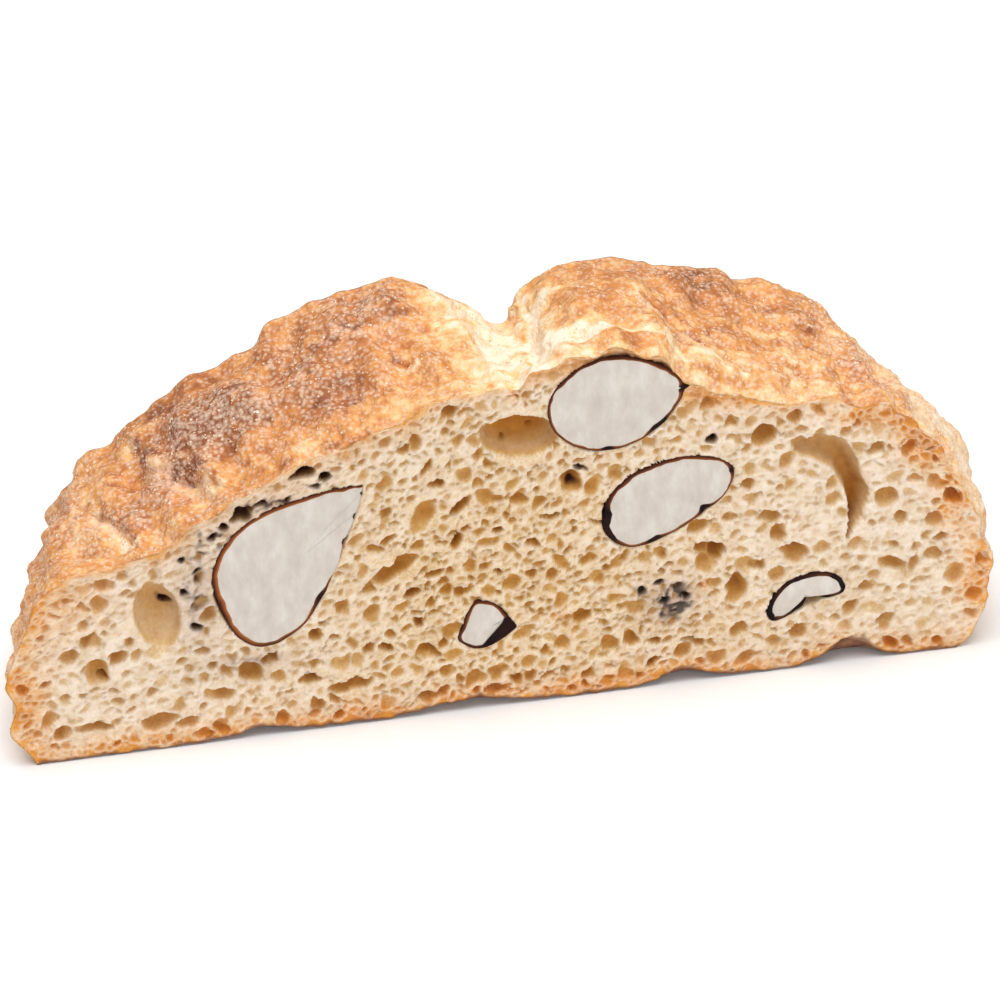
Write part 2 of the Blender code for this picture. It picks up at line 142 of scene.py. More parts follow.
def lattice_noise(places, size, seed):
    """Smooth noise from -1 to 1: a seeded value at each corner of cubes of the given size, blended
    inside each cube by the smooth step 3s^2 - 2s^3 along every axis."""
    cell = places / size
    low = np.floor(cell).astype(np.int64)
    share = cell - low
    share = share * share * (3 - 2 * share)
    total = np.zeros(places.shape[:-1])
    for corner in itertools.product((0, 1), repeat=3):
        index = low + corner
        mix = index[..., 0] * 73856093 ^ index[..., 1] * 19349663 ^ index[..., 2] * 83492791
        mix = mix ^ seed * 2654435761
        mix = (mix & 0x7FFFFFFF) * 1103515245 + 12345 & 0x7FFFFFFF
        mix = (mix ^ (mix >> 15)) * 1103515245 + 12345 & 0x7FFFFFFF
        value = (mix ^ (mix >> 13)) / 1073741824.0 - 1.0
        weight = np.prod(np.where(np.array(corner), share, 1 - share), axis=-1)
        total += value * weight
    return total


def layered_noise(places, size, seed, layers=3):
    """Lattice noise at the given size, plus half of it at half the size, and so on."""
    total = sum(lattice_noise(places, size / 2**k, seed + k) / 2**k for k in range(layers))
    return total / (2 - 2.0 ** (1 - layers))


def edge_curve(t):
    """Catmull-Rom curve through the rows of the cut edge, at row numbers with fractions."""
    rows = np.vstack([2 * CUT_EDGE[0] - CUT_EDGE[1], CUT_EDGE, 2 * CUT_EDGE[-1] - CUT_EDGE[-2]])
    span = np.clip(np.floor(t).astype(int), 0, LAST_ROW - 1)
    s = (t - span)[..., None]
    a, b, c, d = (rows[span + k] for k in range(4))
    return 0.5 * (2 * b + (c - a) * s + (2 * a - 5 * b + 4 * c - d) * s**2 + (3 * b - a - 3 * c + d) * s**3)


# Length along the mean of both cut edges, against row numbers
TABLE_T = np.linspace(0, LAST_ROW, 4001)
TABLE_EDGE = edge_curve(TABLE_T)
TABLE_STEPS = np.linalg.norm(np.diff(TABLE_EDGE[:, :2] + TABLE_EDGE[:, 2:], axis=0), axis=1) / 2
TABLE_LENGTH = np.append(0.0, np.cumsum(TABLE_STEPS))


def even_rows(start, end, steps):
    """Row numbers from start to end whose places are evenly spaced along the edge."""
    lengths = np.interp((start, end), TABLE_T, TABLE_LENGTH)
    return np.interp(np.linspace(*lengths, steps + 1), TABLE_LENGTH, TABLE_T)


def way_distance(x, y, places):
    """Signed distance from a broken line through places, positive on its left side."""
    nearest = np.full(np.broadcast(x, y).shape, 1e9)
    signed = np.zeros(nearest.shape)
    for (x0, y0), (x1, y1) in zip(places, places[1:]):
        run = math.hypot(x1 - x0, y1 - y0)
        ahead = np.clip(((x - x0) * (x1 - x0) + (y - y0) * (y1 - y0)) / run**2, 0, 1)
        away = np.hypot(x - x0 - ahead * (x1 - x0), y - y0 - ahead * (y1 - y0))
        side = np.sign((x1 - x0) * (y - y0) - (y1 - y0) * (x - x0))
        signed = np.where(away < nearest, away * side, signed)
        nearest = np.minimum(nearest, away)
    return signed


def strata(x, y, z):
    """Noise drawn out along the slice, inside a bell-shaped patch: torn layers of the dough."""
    streak_x, streak_y, wide, deep, _ = STREAKS
    places = np.stack(np.broadcast_arrays(x * 0.22, y * 1.3 + x * 0.10, z * 0.5), axis=-1)
    near = np.exp(-(((x - streak_x) / wide) ** 2) - ((y - streak_y) / deep) ** 2)
    return layered_noise(places, 1.8, 100, 2) * near


def crust_rise(x, y, z, along):
    """How far the crust stands out: bell-shaped lumps, ledges that rise as tanh on one side of their way
    and fade as a bell, a sum of cosine waves for the knobs, and lattice noise for the baked skin."""
    places = np.stack(np.broadcast_arrays(x, y, z), axis=-1)
    rise = np.zeros(np.broadcast(x, y).shape)
    for lump_x, lump_y, wide, deep, height in LUMPS + SMALL_LUMPS:
        rise = rise + height * np.exp(-(((x - lump_x) / wide) ** 2) - ((y - lump_y) / deep) ** 2)
    stray_x, stray_y = (
        0.5 * lattice_noise(places, 3.6, 80 + k) + 0.2 * lattice_noise(places, 0.9, 84 + k) for k in (0, 1)
    )
    for half_width, reach, height, deep, *way in LEDGES:
        away = way_distance(x + stray_x, y + stray_y, way)
        step = np.tanh(away / half_width) * np.exp(-((away / reach) ** 2))
        rise = rise + height * 0.5 * step - deep * np.exp(-((away / (0.9 * half_width)) ** 2))
    rng = np.random.default_rng(KNOB_SEED)
    calm_x, calm_y, wide, deep, lower = CALM_KNOBS
    knobs = KNOB_HEIGHT * (1 - lower * np.exp(-(((x - calm_x) / wide) ** 4) - ((y - calm_y) / deep) ** 4))
    for _ in range(KNOB_WAVES):
        length, turn = rng.uniform(*KNOB_LENGTHS), rng.uniform(0, math.pi)
        phase = rng.uniform(0, 2 * math.pi)
        ahead = along * math.cos(turn) + y * math.sin(turn)
        rise = rise + knobs * np.cos(2 * math.pi * ahead / length + phase)
    flank_x, flank_wide, rougher = ROUGH_FLANK
    rough = 1 + rougher * np.exp(-(((x - flank_x) / flank_wide) ** 4))
    for number, (size, height) in enumerate(GRAIN_LAYERS):
        rise = rise + rough * height * lattice_noise(places * GRAIN_STRETCH, size, GRAIN_SEED + number)
    rise = rise + STREAKS[4] * strata(x, y, z)
    from_cut = ((HALF - abs(y)) / PIT_MARGIN).clip(0, 1)
    for size, depth in PITS:
        rise = rise - depth * (lattice_noise(places, size, 97) - 0.25).clip(0) * from_cut
    return rise


def skin(t, y):
    """Places x and z of the crust at row numbers t and depths y: the front and back edges mixed by
    depth, moved outwards in the cut plane by the crust's rise and by the bulge of the ends."""
    share = (y + HALF) / (2 * HALF)
    curve = edge_curve(t)
    ahead = edge_curve(np.clip(t + 0.02, 0, LAST_ROW)) - edge_curve(np.clip(t - 0.02, 0, LAST_ROW))
    x = curve[..., 0] * (1 - share) + curve[..., 2] * share
    z = curve[..., 1] * (1 - share) + curve[..., 3] * share
    run_x = ahead[..., 0] * (1 - share) + ahead[..., 2] * share
    run_z = ahead[..., 1] * (1 - share) + ahead[..., 3] * share
    run = np.hypot(run_x, run_z)
    out_x, out_z = -run_z / run, run_x / run
    above = np.clip(z / 4, 0, 1)
    along = np.interp(t, TABLE_T, TABLE_LENGTH)
    rise = crust_rise(x, y, z, along) * above
    rise = rise + END_BULGE * (1 - (y / HALF) ** 2) * out_x.clip(0, 1) * above
    x, z = x + out_x * rise, z + out_z * rise
    for place, half_width, drop, reach in ROLLS:
        near_front = ((reach - HALF - y) / reach).clip(0, 1) ** 2
        z = z - drop * near_front * np.exp(-(((x - place) / half_width) ** 4)) * (z > 30)
    return x, z


def tray_side(share, y):
    """Places x and z of the flat bottom at shares from the left foot to the right one: flat, lifted in
    bell shapes near the cut edges, with a fine waviness where the crumb was torn by the knife."""
    left, right = (skin(np.array(row), y)[0] for row in (0.0, float(LAST_ROW)))
    x = left * (1 - share) + right * share
    near_edge = np.clip((abs(y) - HALF + LIFT_REACH) / LIFT_REACH, 0, 1) ** 2
    lift = np.zeros(np.broadcast(x, y).shape)
    for lifts, chosen in ((FRONT_LIFTS, y < 0), (BACK_LIFTS, y >= 0)):
        for place, half_width, rise in lifts:
            lift = lift + rise * np.exp(-(((x - place) / half_width) ** 2)) * chosen
    places = np.stack(np.broadcast_arrays(x, y, 0 * x), axis=-1)
    ragged = 0.22 * (1 + lattice_noise(places, 1.3, 70)) + 0.14 * (1 + lattice_noise(places, 0.6, 71))
    feet = np.sin(math.pi * share) ** 0.25
    return x, near_edge * (lift + ragged * feet)


# The crumb: a foam of egg, sugar, flour and ground almond, baked dry and cut by the knife, so that
# each face is a plane full of opened bubbles. Both faces come from one function: a patch stretched
# between the cut edges, pressed in by a field of bubbles, and closed by a wall and a back inside.
LEFT_CORNER, RIGHT_CORNER = 4.3, 19.9  # of the patch, in rows of the cut edge
SIDE_STEPS, LONG_STEPS = 190, 476  # of the patch's grid, up its sides and along its top and bottom
LEFT_ROWS = even_rows(0, LEFT_CORNER, SIDE_STEPS)
TOP_ROWS = even_rows(LEFT_CORNER, RIGHT_CORNER, LONG_STEPS)
RIGHT_ROWS = even_rows(RIGHT_CORNER, LAST_ROW, SIDE_STEPS)
RELAXING = 120  # rounds in which the patch is evened out
EDGE_SPAN = 20  # grid places before and after one, over which an edge's direction is taken
WALL_RINGS = ((0.8, 0.9), (1.8, 1.3), (3.2, 1.5), (5.0, 1.7))  # depth, and distance inside the crust
RIM_LIMITS = ((0.0, 0.55, 1.2, 1.6), (0.0, 0.5, 1.6, 6.0))  # distance to the rim, and the most depth there
STEP = 0.1  # of the raster that the bubbles are drawn on
COARSE = 4  # raster steps in a step of the coarser grids
RASTER_X = np.arange(-56.0, 56.0, STEP)
RASTER_Z = np.arange(-2.0, 47.0, STEP)
GRID_X, GRID_Z = np.meshgrid(RASTER_X, RASTER_Z)
# Face, x, z, angle in degrees, length, width, exponents of the foot and the tip, bend, and depth
KERNELS = {
    "almond_left": (-1, -22.1, 21.5, 56.0, 21.9, 12.6, 0.57, 0.94, 2.7, 5.5),
    "almond_crown": (-1, 10.8, 37.3, 7.0, 14.2, 11.2, 0.53, 0.65, -0.2, 8.5),
    "almond_middle": (-1, 16.7, 24.0, 25.0, 14.8, 9.0, 0.42, 0.60, 0.7, 7.5),
    "almond_small": (-1, -2.4, 11.2, -21.0, 5.7, 5.8, 0.56, 1.05, -0.7, 4.0),
    "almond_bean": (-1, 31.8, 8.9, 22.0, 8.6, 4.0, 0.41, 0.36, 1.2, 4.5),
    "almond_back_left": (1, -24.0, 20.0, 130.0, 15.0, 9.4, 0.50, 0.72, 0.8, 7.5),
    "almond_back_middle": (1, 5.0, 21.5, 12.0, 17.5, 10.0, 0.52, 0.85, 1.0, 5.5),
    "almond_back_right": (1, 34.0, 15.0, -35.0, 10.5, 7.0, 0.48, 0.66, 0.5, 6.0),
}
FRONT_BUBBLES = (
    (-37.7, 17.1, 2.35, 4.4, 10.0, 2.1),  # oval: x, z, half width, half height, tilt in degrees, depth
    (0.6, 34.3, 4.2, 2.5, -8.0, 2.8),  # domed, under the cleft
    (-0.9, 33.3, 0.3, 0.3, 0.0, 4.2),
    (2.1, 33.7, 0.35, 0.35, 0.0, 4.2),
    (-49.4, 10.0, 0.45, 0.4, 0.0, 0.9),
    (-47.5, 8.0, 0.6, 0.75, 0.0, 0.9),
    (-47.0, 13.4, 0.95, 1.0, 0.0, 1.1),
    (-45.8, 17.2, 0.7, 0.75, 0.0, 0.8),
    (-44.3, 11.0, 1.3, 1.5, 0.0, 1.5),
    (-43.6, 10.1, 0.5, 0.5, 0.0, 2.2),
    (-43.1, 15.6, 0.5, 0.5, 0.0, 0.7),
    (-42.3, 7.0, 0.75, 0.55, 0.0, 0.8),
    (-41.0, 14.5, 0.65, 0.75, 0.0, 1.0),
    (-44.8, 3.9, 2.2, 0.9, -8.0, 1.4),
    (-38.0, 3.6, 2.0, 1.0, 15.0, 1.4),
    (-35.4, 11.0, 1.0, 0.6, 0.0, 0.9),
    (-33.1, 12.0, 0.65, 0.65, 0.0, 1.4),
    (-32.1, 10.0, 0.55, 0.6, 0.0, 1.0),
    (-31.5, 6.0, 1.5, 1.2, 10.0, 1.2),
    (-28.0, 8.6, 1.3, 1.7, 20.0, 1.7),
    (-26.0, 9.9, 1.0, 0.8, 30.0, 2.1),
    (-21.8, 6.5, 1.2, 0.7, -10.0, 2.0),
    (-17.3, 5.2, 2.4, 0.9, 8.0, 1.5),
    (-21.3, 12.0, 0.95, 0.85, 0.0, 1.8),
    (-20.6, 13.7, 0.45, 0.4, 0.0, 1.4),
    (-15.4, 9.6, 0.7, 0.6, 20.0, 1.4),
    (-13.8, 9.2, 0.7, 0.6, 0.0, 1.4),
    (-14.9, 14.1, 0.9, 1.2, -20.0, 0.8),
    (-10.2, 12.2, 0.6, 0.6, 0.0, 1.6),
    (-11.0, 15.9, 0.7, 0.45, 30.0, 1.9),
    (-8.8, 14.6, 0.6, 0.6, 0.0, 1.1),
    (-8.5, 18.3, 1.1, 0.5, 5.0, 1.3),
    (-12.7, 19.5, 2.8, 0.85, 30.0, 1.4),
    (-9.7, 25.6, 1.2, 2.3, -25.0, 0.9),
    (-6.1, 22.0, 1.1, 0.65, 45.0, 1.6),
    (-5.7, 26.3, 1.3, 0.65, 45.0, 1.7),
    (-1.9, 23.1, 0.7, 0.35, 0.0, 2.0),
    (-1.7, 17.5, 0.5, 0.45, 0.0, 1.3),
    (-8.1, 29.9, 0.95, 0.6, 0.0, 1.4),
    (-9.2, 32.0, 0.45, 1.3, -25.0, 1.1),
    (-5.2, 30.3, 0.9, 1.2, -10.0, 0.6),
    (-6.7, 38.3, 0.8, 0.8, 30.0, 1.3),
    (-17.4, 35.9, 0.9, 0.5, 20.0, 1.4),
    (2.1, 20.6, 0.6, 0.6, 0.0, 1.3),
    (3.9, 23.8, 0.9, 0.4, 0.0, 1.8),
    (6.0, 27.8, 1.3, 1.4, 0.0, 1.5),
    (12.4, 14.7, 0.6, 0.4, 20.0, 1.2),
    (17.0, 16.2, 0.6, 0.35, 0.0, 1.3),
    (15.5, 5.9, 0.9, 0.4, 0.0, 1.4),
    (15.5, 3.6, 1.1, 0.5, 15.0, 1.5),
    (18.9, 5.7, 0.6, 0.5, 0.0, 2.0),
    (20.2, 4.8, 1.2, 0.6, -15.0, 1.2),
    (20.5, 17.3, 1.2, 1.0, 0.0, 2.0),
    (22.0, 16.5, 1.1, 1.2, 0.0, 2.4),
    (20.7, 15.2, 1.3, 1.2, 0.0, 1.0),
    (24.2, 11.6, 1.3, 2.1, -5.0, 1.9),
    (24.7, 6.1, 1.0, 1.1, 20.0, 1.2),
    (21.3, 8.0, 0.8, 0.8, 0.0, 0.5),
    (27.1, 14.3, 0.5, 0.55, 0.0, 1.1),
    (26.7, 30.7, 1.6, 1.5, 20.0, 1.9),
    (27.6, 20.3, 1.4, 1.2, 0.0, 1.2),
    (30.6, 15.4, 1.5, 1.4, 0.0, 1.7),
    (36.8, 7.2, 1.4, 0.9, 30.0, 1.2),
    (40.1, 20.7, 1.4, 1.5, -20.0, 1.3),
    (41.2, 12.0, 1.9, 0.8, -25.0, 1.4),
    (48.0, 9.8, 1.5, 1.2, 15.0, 1.0),
)
# Bubbles painted near-black: painted shade in deep holes, with char at the stain.
DARK_BUBBLES = (
    (-37.1, 18.2, 0.75, 0.5, -20.0, 4.5),  # hole in the floor of the oval bubble
    (-35.0, 24.3, 0.45, 0.4, 0.0, 1.2),  # beside the left almond, under its skin
    (-33.2, 22.6, 0.35, 0.3, 0.0, 1.0),
    (-34.7, 20.0, 0.4, 0.35, 0.0, 1.0),
    (-33.8, 15.5, 0.5, 0.6, 15.0, 1.2),
    (-31.5, 26.5, 0.5, 0.4, 30.0, 1.4),
    (-28.3, 28.9, 1.3, 0.75, 30.0, 2.2),
    (-26.6, 30.0, 0.8, 0.5, 20.0, 1.8),
    (-30.4, 27.6, 0.7, 0.5, 40.0, 1.4),
    (-24.1, 30.0, 0.6, 0.4, 30.0, 1.4),
    (-22.2, 32.9, 1.4, 0.7, 12.0, 2.2),
    (-20.9, 31.0, 0.6, 0.35, 20.0, 1.3),
    (-19.7, 32.3, 0.55, 0.4, 0.0, 1.5),
    (21.4, 31.2, 0.65, 0.55, 10.0, 1.9),  # dark holes at the right
    (6.1, 27.5, 0.4, 0.4, 0.0, 2.4),
    (7.0, 29.6, 0.5, 0.3, 0.0, 1.6),
    (15.7, 13.5, 0.5, 0.3, 20.0, 0.9),  # the stain
    (13.8, 12.7, 0.5, 0.4, -20.0, 0.9),
    (16.4, 11.1, 0.6, 0.4, 15.0, 1.0),
    (18.6, 11.2, 0.5, 0.6, 40.0, 1.2),
    (17.2, 9.5, 0.4, 0.3, 0.0, 0.8),
)
MEDIUM_BUBBLES = 460
FRONT_MEDIUM, BACK_MEDIUM = (0.42, 0.95), (0.42, 1.7)  # least and greatest radius
FINE_BUBBLES = 3600
FINE_SIZES = (0.2, 0.45)
SCATTER_TRIES = 14  # places tried for each bubble
SCATTER_BOX = ((-53.0, 0.6), (53.0, 44.0))  # lowest and highest x and z tried
PAIR_SHARE = 0.33  # of the bubbles that get a smaller neighbour
FOLLOWED_CUTS = (0.6, 1.2, 1.8, 2.6)  # distances behind a face at which the crust's place is looked up
MOST_DEPTH = 9.0
WARPS = ((2.4, 0.35, 11), (1.0, 0.36, 13), (0.45, 0.10, 15))  # size, reach and seed of the rims' waviness
# The next five tables hold x, z, half width along x and z, and strength
HAZES = (
    (-33.3, 19.5, 2.6, 7.5, 0.6),  # grey haze round the left almond
    (-27.5, 9.8, 7.0, 1.6, 0.5),
    (-27.0, 29.2, 5.0, 2.6, 0.35),
    (16.8, 10.9, 3.0, 2.8, 1.0),  # round the stain
)
BROWNINGS = (
    (-47.5, 20.0, 4.6, 4.2, 0.6),
    (-51.0, 9.0, 2.2, 7.0, 0.55),
    (10.5, 43.4, 7.6, 1.7, 1.3),
    (25.0, 37.0, 9.0, 1.5, 1.2),
    (40.0, 32.2, 5.0, 1.7, 1.6),
    (44.3, 27.8, 2.6, 3.2, 2.0),
    (48.2, 21.0, 2.2, 4.5, 1.9),
    (50.8, 10.0, 2.0, 6.0, 0.9),
    (0.0, 0.4, 70.0, 1.9, 1.2),
    (-52.5, 9.0, 2.0, 8.0, 0.7),
    (5.5, 10.7, 1.1, 0.8, 1.0),  # caramel spots
    (20.7, 12.5, 0.6, 0.6, 1.0),
)
STAINS_AND_SHADE = (
    (17.2, 10.9, 2.0, 2.0, 1.5),  # charred spot, its core and its tail
    (14.2, 12.8, 1.2, 0.8, 0.9),
    (-33.6, 20.0, 1.5, 5.5, 0.66),  # dark specks round the left almond, with painted shade there
    (-31.2, 26.0, 2.2, 1.4, 0.95),
    (-26.5, 29.6, 3.0, 0.9, 0.85),
    (-27.8, 10.0, 3.5, 0.8, 0.45),
)
CHARRED_STAINS = 2  # the first rows, which are black and not brown
GOLDEN = ((0.0, 20.0, 20.0, 14.0, 1.25), (5.0, 6.0, 30.0, 6.0, 0.6))
CRUSTED = (
    (3.6, 42.6, 2.6, 1.2, 1.3),  # the crust rolled over the upper almond
    (8.0, 43.9, 4.5, 1.2, 1.6),
    (12.5, 43.6, 4.0, 1.2, 1.6),
    (16.8, 40.4, 2.4, 1.2, 1.4),
    (22.0, 36.8, 4.0, 0.7, 0.7),
)
CRESCENT = (29.6, 21.2, 3.3)  # centre of its inner curve x and z, and depth
# Degrees round the centre, inner and outer radius
CRESCENT_ROWS = np.array((
    (-37.0, 8.1, 8.4),
    (-24.0, 7.4, 8.1),
    (-8.0, 6.6, 8.4),
    (6.0, 6.3, 8.75),
    (22.0, 6.1, 8.4),
    (42.0, 6.3, 9.1),
    (55.0, 6.3, 9.7),
    (67.0, 6.35, 9.4),
    (78.0, 6.5, 8.7),
    (86.0, 7.0, 7.4),
))


def kernel_outline(x, z, angle, length, width, foot, tip, bend, sides):
    """The cut outline of an almond: half its width runs as share^foot * (1 - share)^tip from the blunt
    foot to the tip, on a middle line bowed as 4 * share * (1 - share)."""
    t = np.linspace(0, 2 * math.pi, sides, endpoint=False)
    share = (1 - np.cos(t)) / 2
    widest = (foot / (foot + tip)) ** foot * (tip / (foot + tip)) ** tip
    half = width / 2 * share.clip(0) ** foot * (1 - share).clip(0) ** tip / widest
    along = (share - 0.5) * length
    across = np.sign(np.sin(t)).round() * half + bend * 4 * share * (1 - share)
    cos, sin = math.cos(math.radians(angle)), math.sin(math.radians(angle))
    return np.stack([x + along * cos - across * sin, z + along * sin + across * cos], axis=1)


def window(x, z, reach):
    """The part of the raster within reach of a place."""
    columns = slice(max(0, int((x - reach - RASTER_X[0]) / STEP)), int((x + reach - RASTER_X[0]) / STEP) + 2)
    rows = slice(max(0, int((z - reach - RASTER_Z[0]) / STEP)), int((z + reach - RASTER_Z[0]) / STEP) + 2)
    return rows, columns


def press(field, x, z, wide, high, tilt, depth, form=1.0, lean=0.0, walls_and_highlights=None):
    """Press one bubble into a depth field: depth * (1 - r^2)^form * (1 + lean * v), r the distance in its
    tilted ellipse and v the share of its height. The lean makes it deeper towards its top, so that the colour
    by depth paints shade there. Its pale rim, wall and painted highlight, is a bell across r = 1 in a second
    field."""
    part = window(x, z, max(wide, high) + 0.3)
    dx, dz = GRID_X[part] - x, GRID_Z[part] - z
    turn = math.radians(tilt)
    u, v = dx * math.cos(turn) + dz * math.sin(turn), dz * math.cos(turn) - dx * math.sin(turn)
    squared = (u / wide) ** 2 + (v / high) ** 2
    field[part] = np.maximum(field[part], depth * (1 - squared).clip(0) ** form * (1 + lean * v / high))
    if walls_and_highlights is not None:
        away = (np.sqrt(squared) - 1.05) * math.sqrt(wide * high) / 0.15
        walls_and_highlights[part] = np.maximum(walls_and_highlights[part], np.exp(-(away**2)))


def press_crescent(field, walls_and_highlights):
    """Press the curved bubble: between its inner and outer radius, deepest near the inner one and at its
    lower end, as the root of 4 s (1 - s) with s the share of the way out. Its inner rim is a pale wall along
    part of its length, partly a painted highlight."""
    x, z, depth = CRESCENT
    turn, away = np.degrees(np.arctan2(GRID_Z - z, GRID_X - x)), np.hypot(GRID_X - x, GRID_Z - z)
    near, far = (np.interp(turn, CRESCENT_ROWS[:, 0], CRESCENT_ROWS[:, k]) for k in (1, 2))
    start, wall_end, end = CRESCENT_ROWS[0, 0], 40.0, CRESCENT_ROWS[-1, 0]
    share = (away - near) / (far - near)
    inside = (4 * share * (1 - share)).clip(0) * (turn > start) * (turn < end)
    np.maximum(field, depth * (1.25 - 0.5 * share) * (1.0 - (turn + 10) / 190) * np.sqrt(inside), out=field)
    wall = 1.3 * np.exp(-(((away - near + 0.25) / 0.2) ** 2)) * (turn > start) * (turn < wall_end)
    np.maximum(walls_and_highlights, wall, out=walls_and_highlights)


def face_rim(y):
    """The four sides of a cut through the slice at depth y, as places x and z: bottom, top, left, right."""
    bottom = np.stack(tray_side(np.linspace(0, 1, LONG_STEPS + 1), np.array(y)), axis=1)
    sides = (TOP_ROWS, LEFT_ROWS, RIGHT_ROWS)
    top, left, right = (np.stack(skin(rows, np.array(y)), axis=1) for rows in sides)
    return bottom, top, left, right[::-1]


def stretched_patch(bottom, top, left, right):
    """Coons patch: the mix of bottom and top, plus the mix of left and right, less the mix of corners.
    Its inner points are then moved to the middle of their neighbours, so that it stays within its rim."""
    u = np.linspace(0, 1, len(bottom))[None, :, None]
    v = np.linspace(0, 1, len(left))[:, None, None]
    long_mix = (1 - v) * bottom[None] + v * top[None]
    side_mix = (1 - u) * left[:, None] + u * right[:, None]
    low = (1 - u) * bottom[0] + u * bottom[-1]
    high = (1 - u) * top[0] + u * top[-1]
    patch = long_mix + side_mix - (1 - v) * low - v * high
    for _ in range(RELAXING):
        patch[1:-1, 1:-1] = (patch[:-2, 1:-1] + patch[2:, 1:-1] + patch[1:-1, :-2] + patch[1:-1, 2:]) / 4
    return patch


def distance_to(outline):
    """Distance from every raster place to the nearest point of an outline, worked out on a coarser grid."""
    x, z = GRID_X[::COARSE, ::COARSE], GRID_Z[::COARSE, ::COARSE]
    places = np.stack([x.ravel(), z.ravel()], axis=1)
    nearest = np.full(len(places), 1e9)
    for chunk in np.array_split(outline, max(1, len(outline) // 64)):
        nearest = np.minimum(nearest, ((places[:, None] - chunk[None]) ** 2).sum(-1).min(1))
    return look_up(np.sqrt(nearest).reshape(x.shape), GRID_X, GRID_Z, STEP * COARSE)


def look_up(field, x, z, step=STEP):
    """Read a raster field at places x and z, blended between its four nearest samples."""
    column = ((x - RASTER_X[0]) / step).clip(0, field.shape[1] - 1.001)
    row = ((z - RASTER_Z[0]) / step).clip(0, field.shape[0] - 1.001)
    i, j = row.astype(int), column.astype(int)
    a, b = row - i, column - j
    near = field[i, j] * (1 - b) + field[i, j + 1] * b
    far = field[i + 1, j] * (1 - b) + field[i + 1, j + 1] * b
    return near * (1 - a) + far * a


def inside_outline(outline, grid=(GRID_X, GRID_Z)):
    """True at the raster places inside a closed outline, by counting the edges crossed to the right."""
    x, z = grid
    inside = np.zeros(x.shape, bool)
    for (x0, z0), (x1, z1) in zip(outline, np.roll(outline, -1, axis=0)):
        if z0 == z1:
            continue
        between = (z >= min(z0, z1)) & (z < max(z0, z1))
        inside ^= between & (x < x0 + (z - z0) * (x1 - x0) / (z1 - z0))
    return inside


def closed_rim(rim):
    """The sides of a cut as one closed outline."""
    return np.vstack([rim[0], rim[3], rim[1][::-1], rim[2][::-1]])


def kept_inside(patch, outline):
    """A patch whose inner points beyond its outline are moved to the nearest place of the outline."""
    inner = patch[1:-1, 1:-1]
    beyond = look_up(inside_outline(outline).astype(float), inner[..., 0], inner[..., 1]) < 0.4
    nearest = ((inner[beyond][:, None] - outline[None]) ** 2).sum(axis=-1).argmin(axis=1)
    inner[beyond] = outline[nearest]
    return patch


def deepest(face):
    """How deep a bubble may go at each raster place before it would come out of the crust: the crust is
    followed inwards cut by cut, and the depth stays short of the first cut whose edge is too near."""
    most, before = np.full(GRID_X.shape, MOST_DEPTH), 0.1
    for deep in FOLLOWED_CUTS:
        outline = closed_rim(face_rim(face * (HALF - deep)))
        inside = inside_outline(outline[::2], (GRID_X[::COARSE, ::COARSE], GRID_Z[::COARSE, ::COARSE]))
        room = distance_to(outline) * look_up(inside.astype(float), GRID_X, GRID_Z, STEP * COARSE)
        most = np.minimum(most, before + 3.0 * (room - 0.3).clip(0))
        before = deep
    return most


def flow_angle(x, z):
    """The way the bubbles are drawn out, in degrees: up to the right at the left, level at the right."""
    return 38 - 34 / (1 + math.exp(-(x - 4) / 9)) - 10 * math.exp(-(((z - 6) / 5) ** 2))


def scatter_bubbles(rng, count, sizes, space, room, kept):
    """Throw bubbles at the face, the largest first, and keep each that is clear of those before it. One
    in three gets a smaller neighbour that runs into it."""
    low, high = sizes
    radii = np.sort(low + (high - low) * rng.random(count) ** 2.2)[::-1]
    held = np.zeros((len(kept) + count, 3))
    held[:len(kept)] = kept
    number = len(kept)
    made = []
    for radius in radii:
        for x, z in rng.uniform(*SCATTER_BOX, (SCATTER_TRIES, 2)):
            if look_up(room, x, z) < radius * 1.1 + 0.2:
                continue
            away = np.hypot(held[:number, 0] - x, held[:number, 1] - z)
            if (away < held[:number, 2] + radius * space + 0.08).any():
                continue
            held[number] = (x, z, radius)
            number += 1
            made.append((x, z, radius))
            if rng.random() < PAIR_SHARE:
                turn = math.radians(flow_angle(x, z) + rng.normal(0, 40))
                away = radius * 1.15
                made.append((x + away * math.cos(turn), z + away * math.sin(turn), radius * 0.65))
            break
    return made


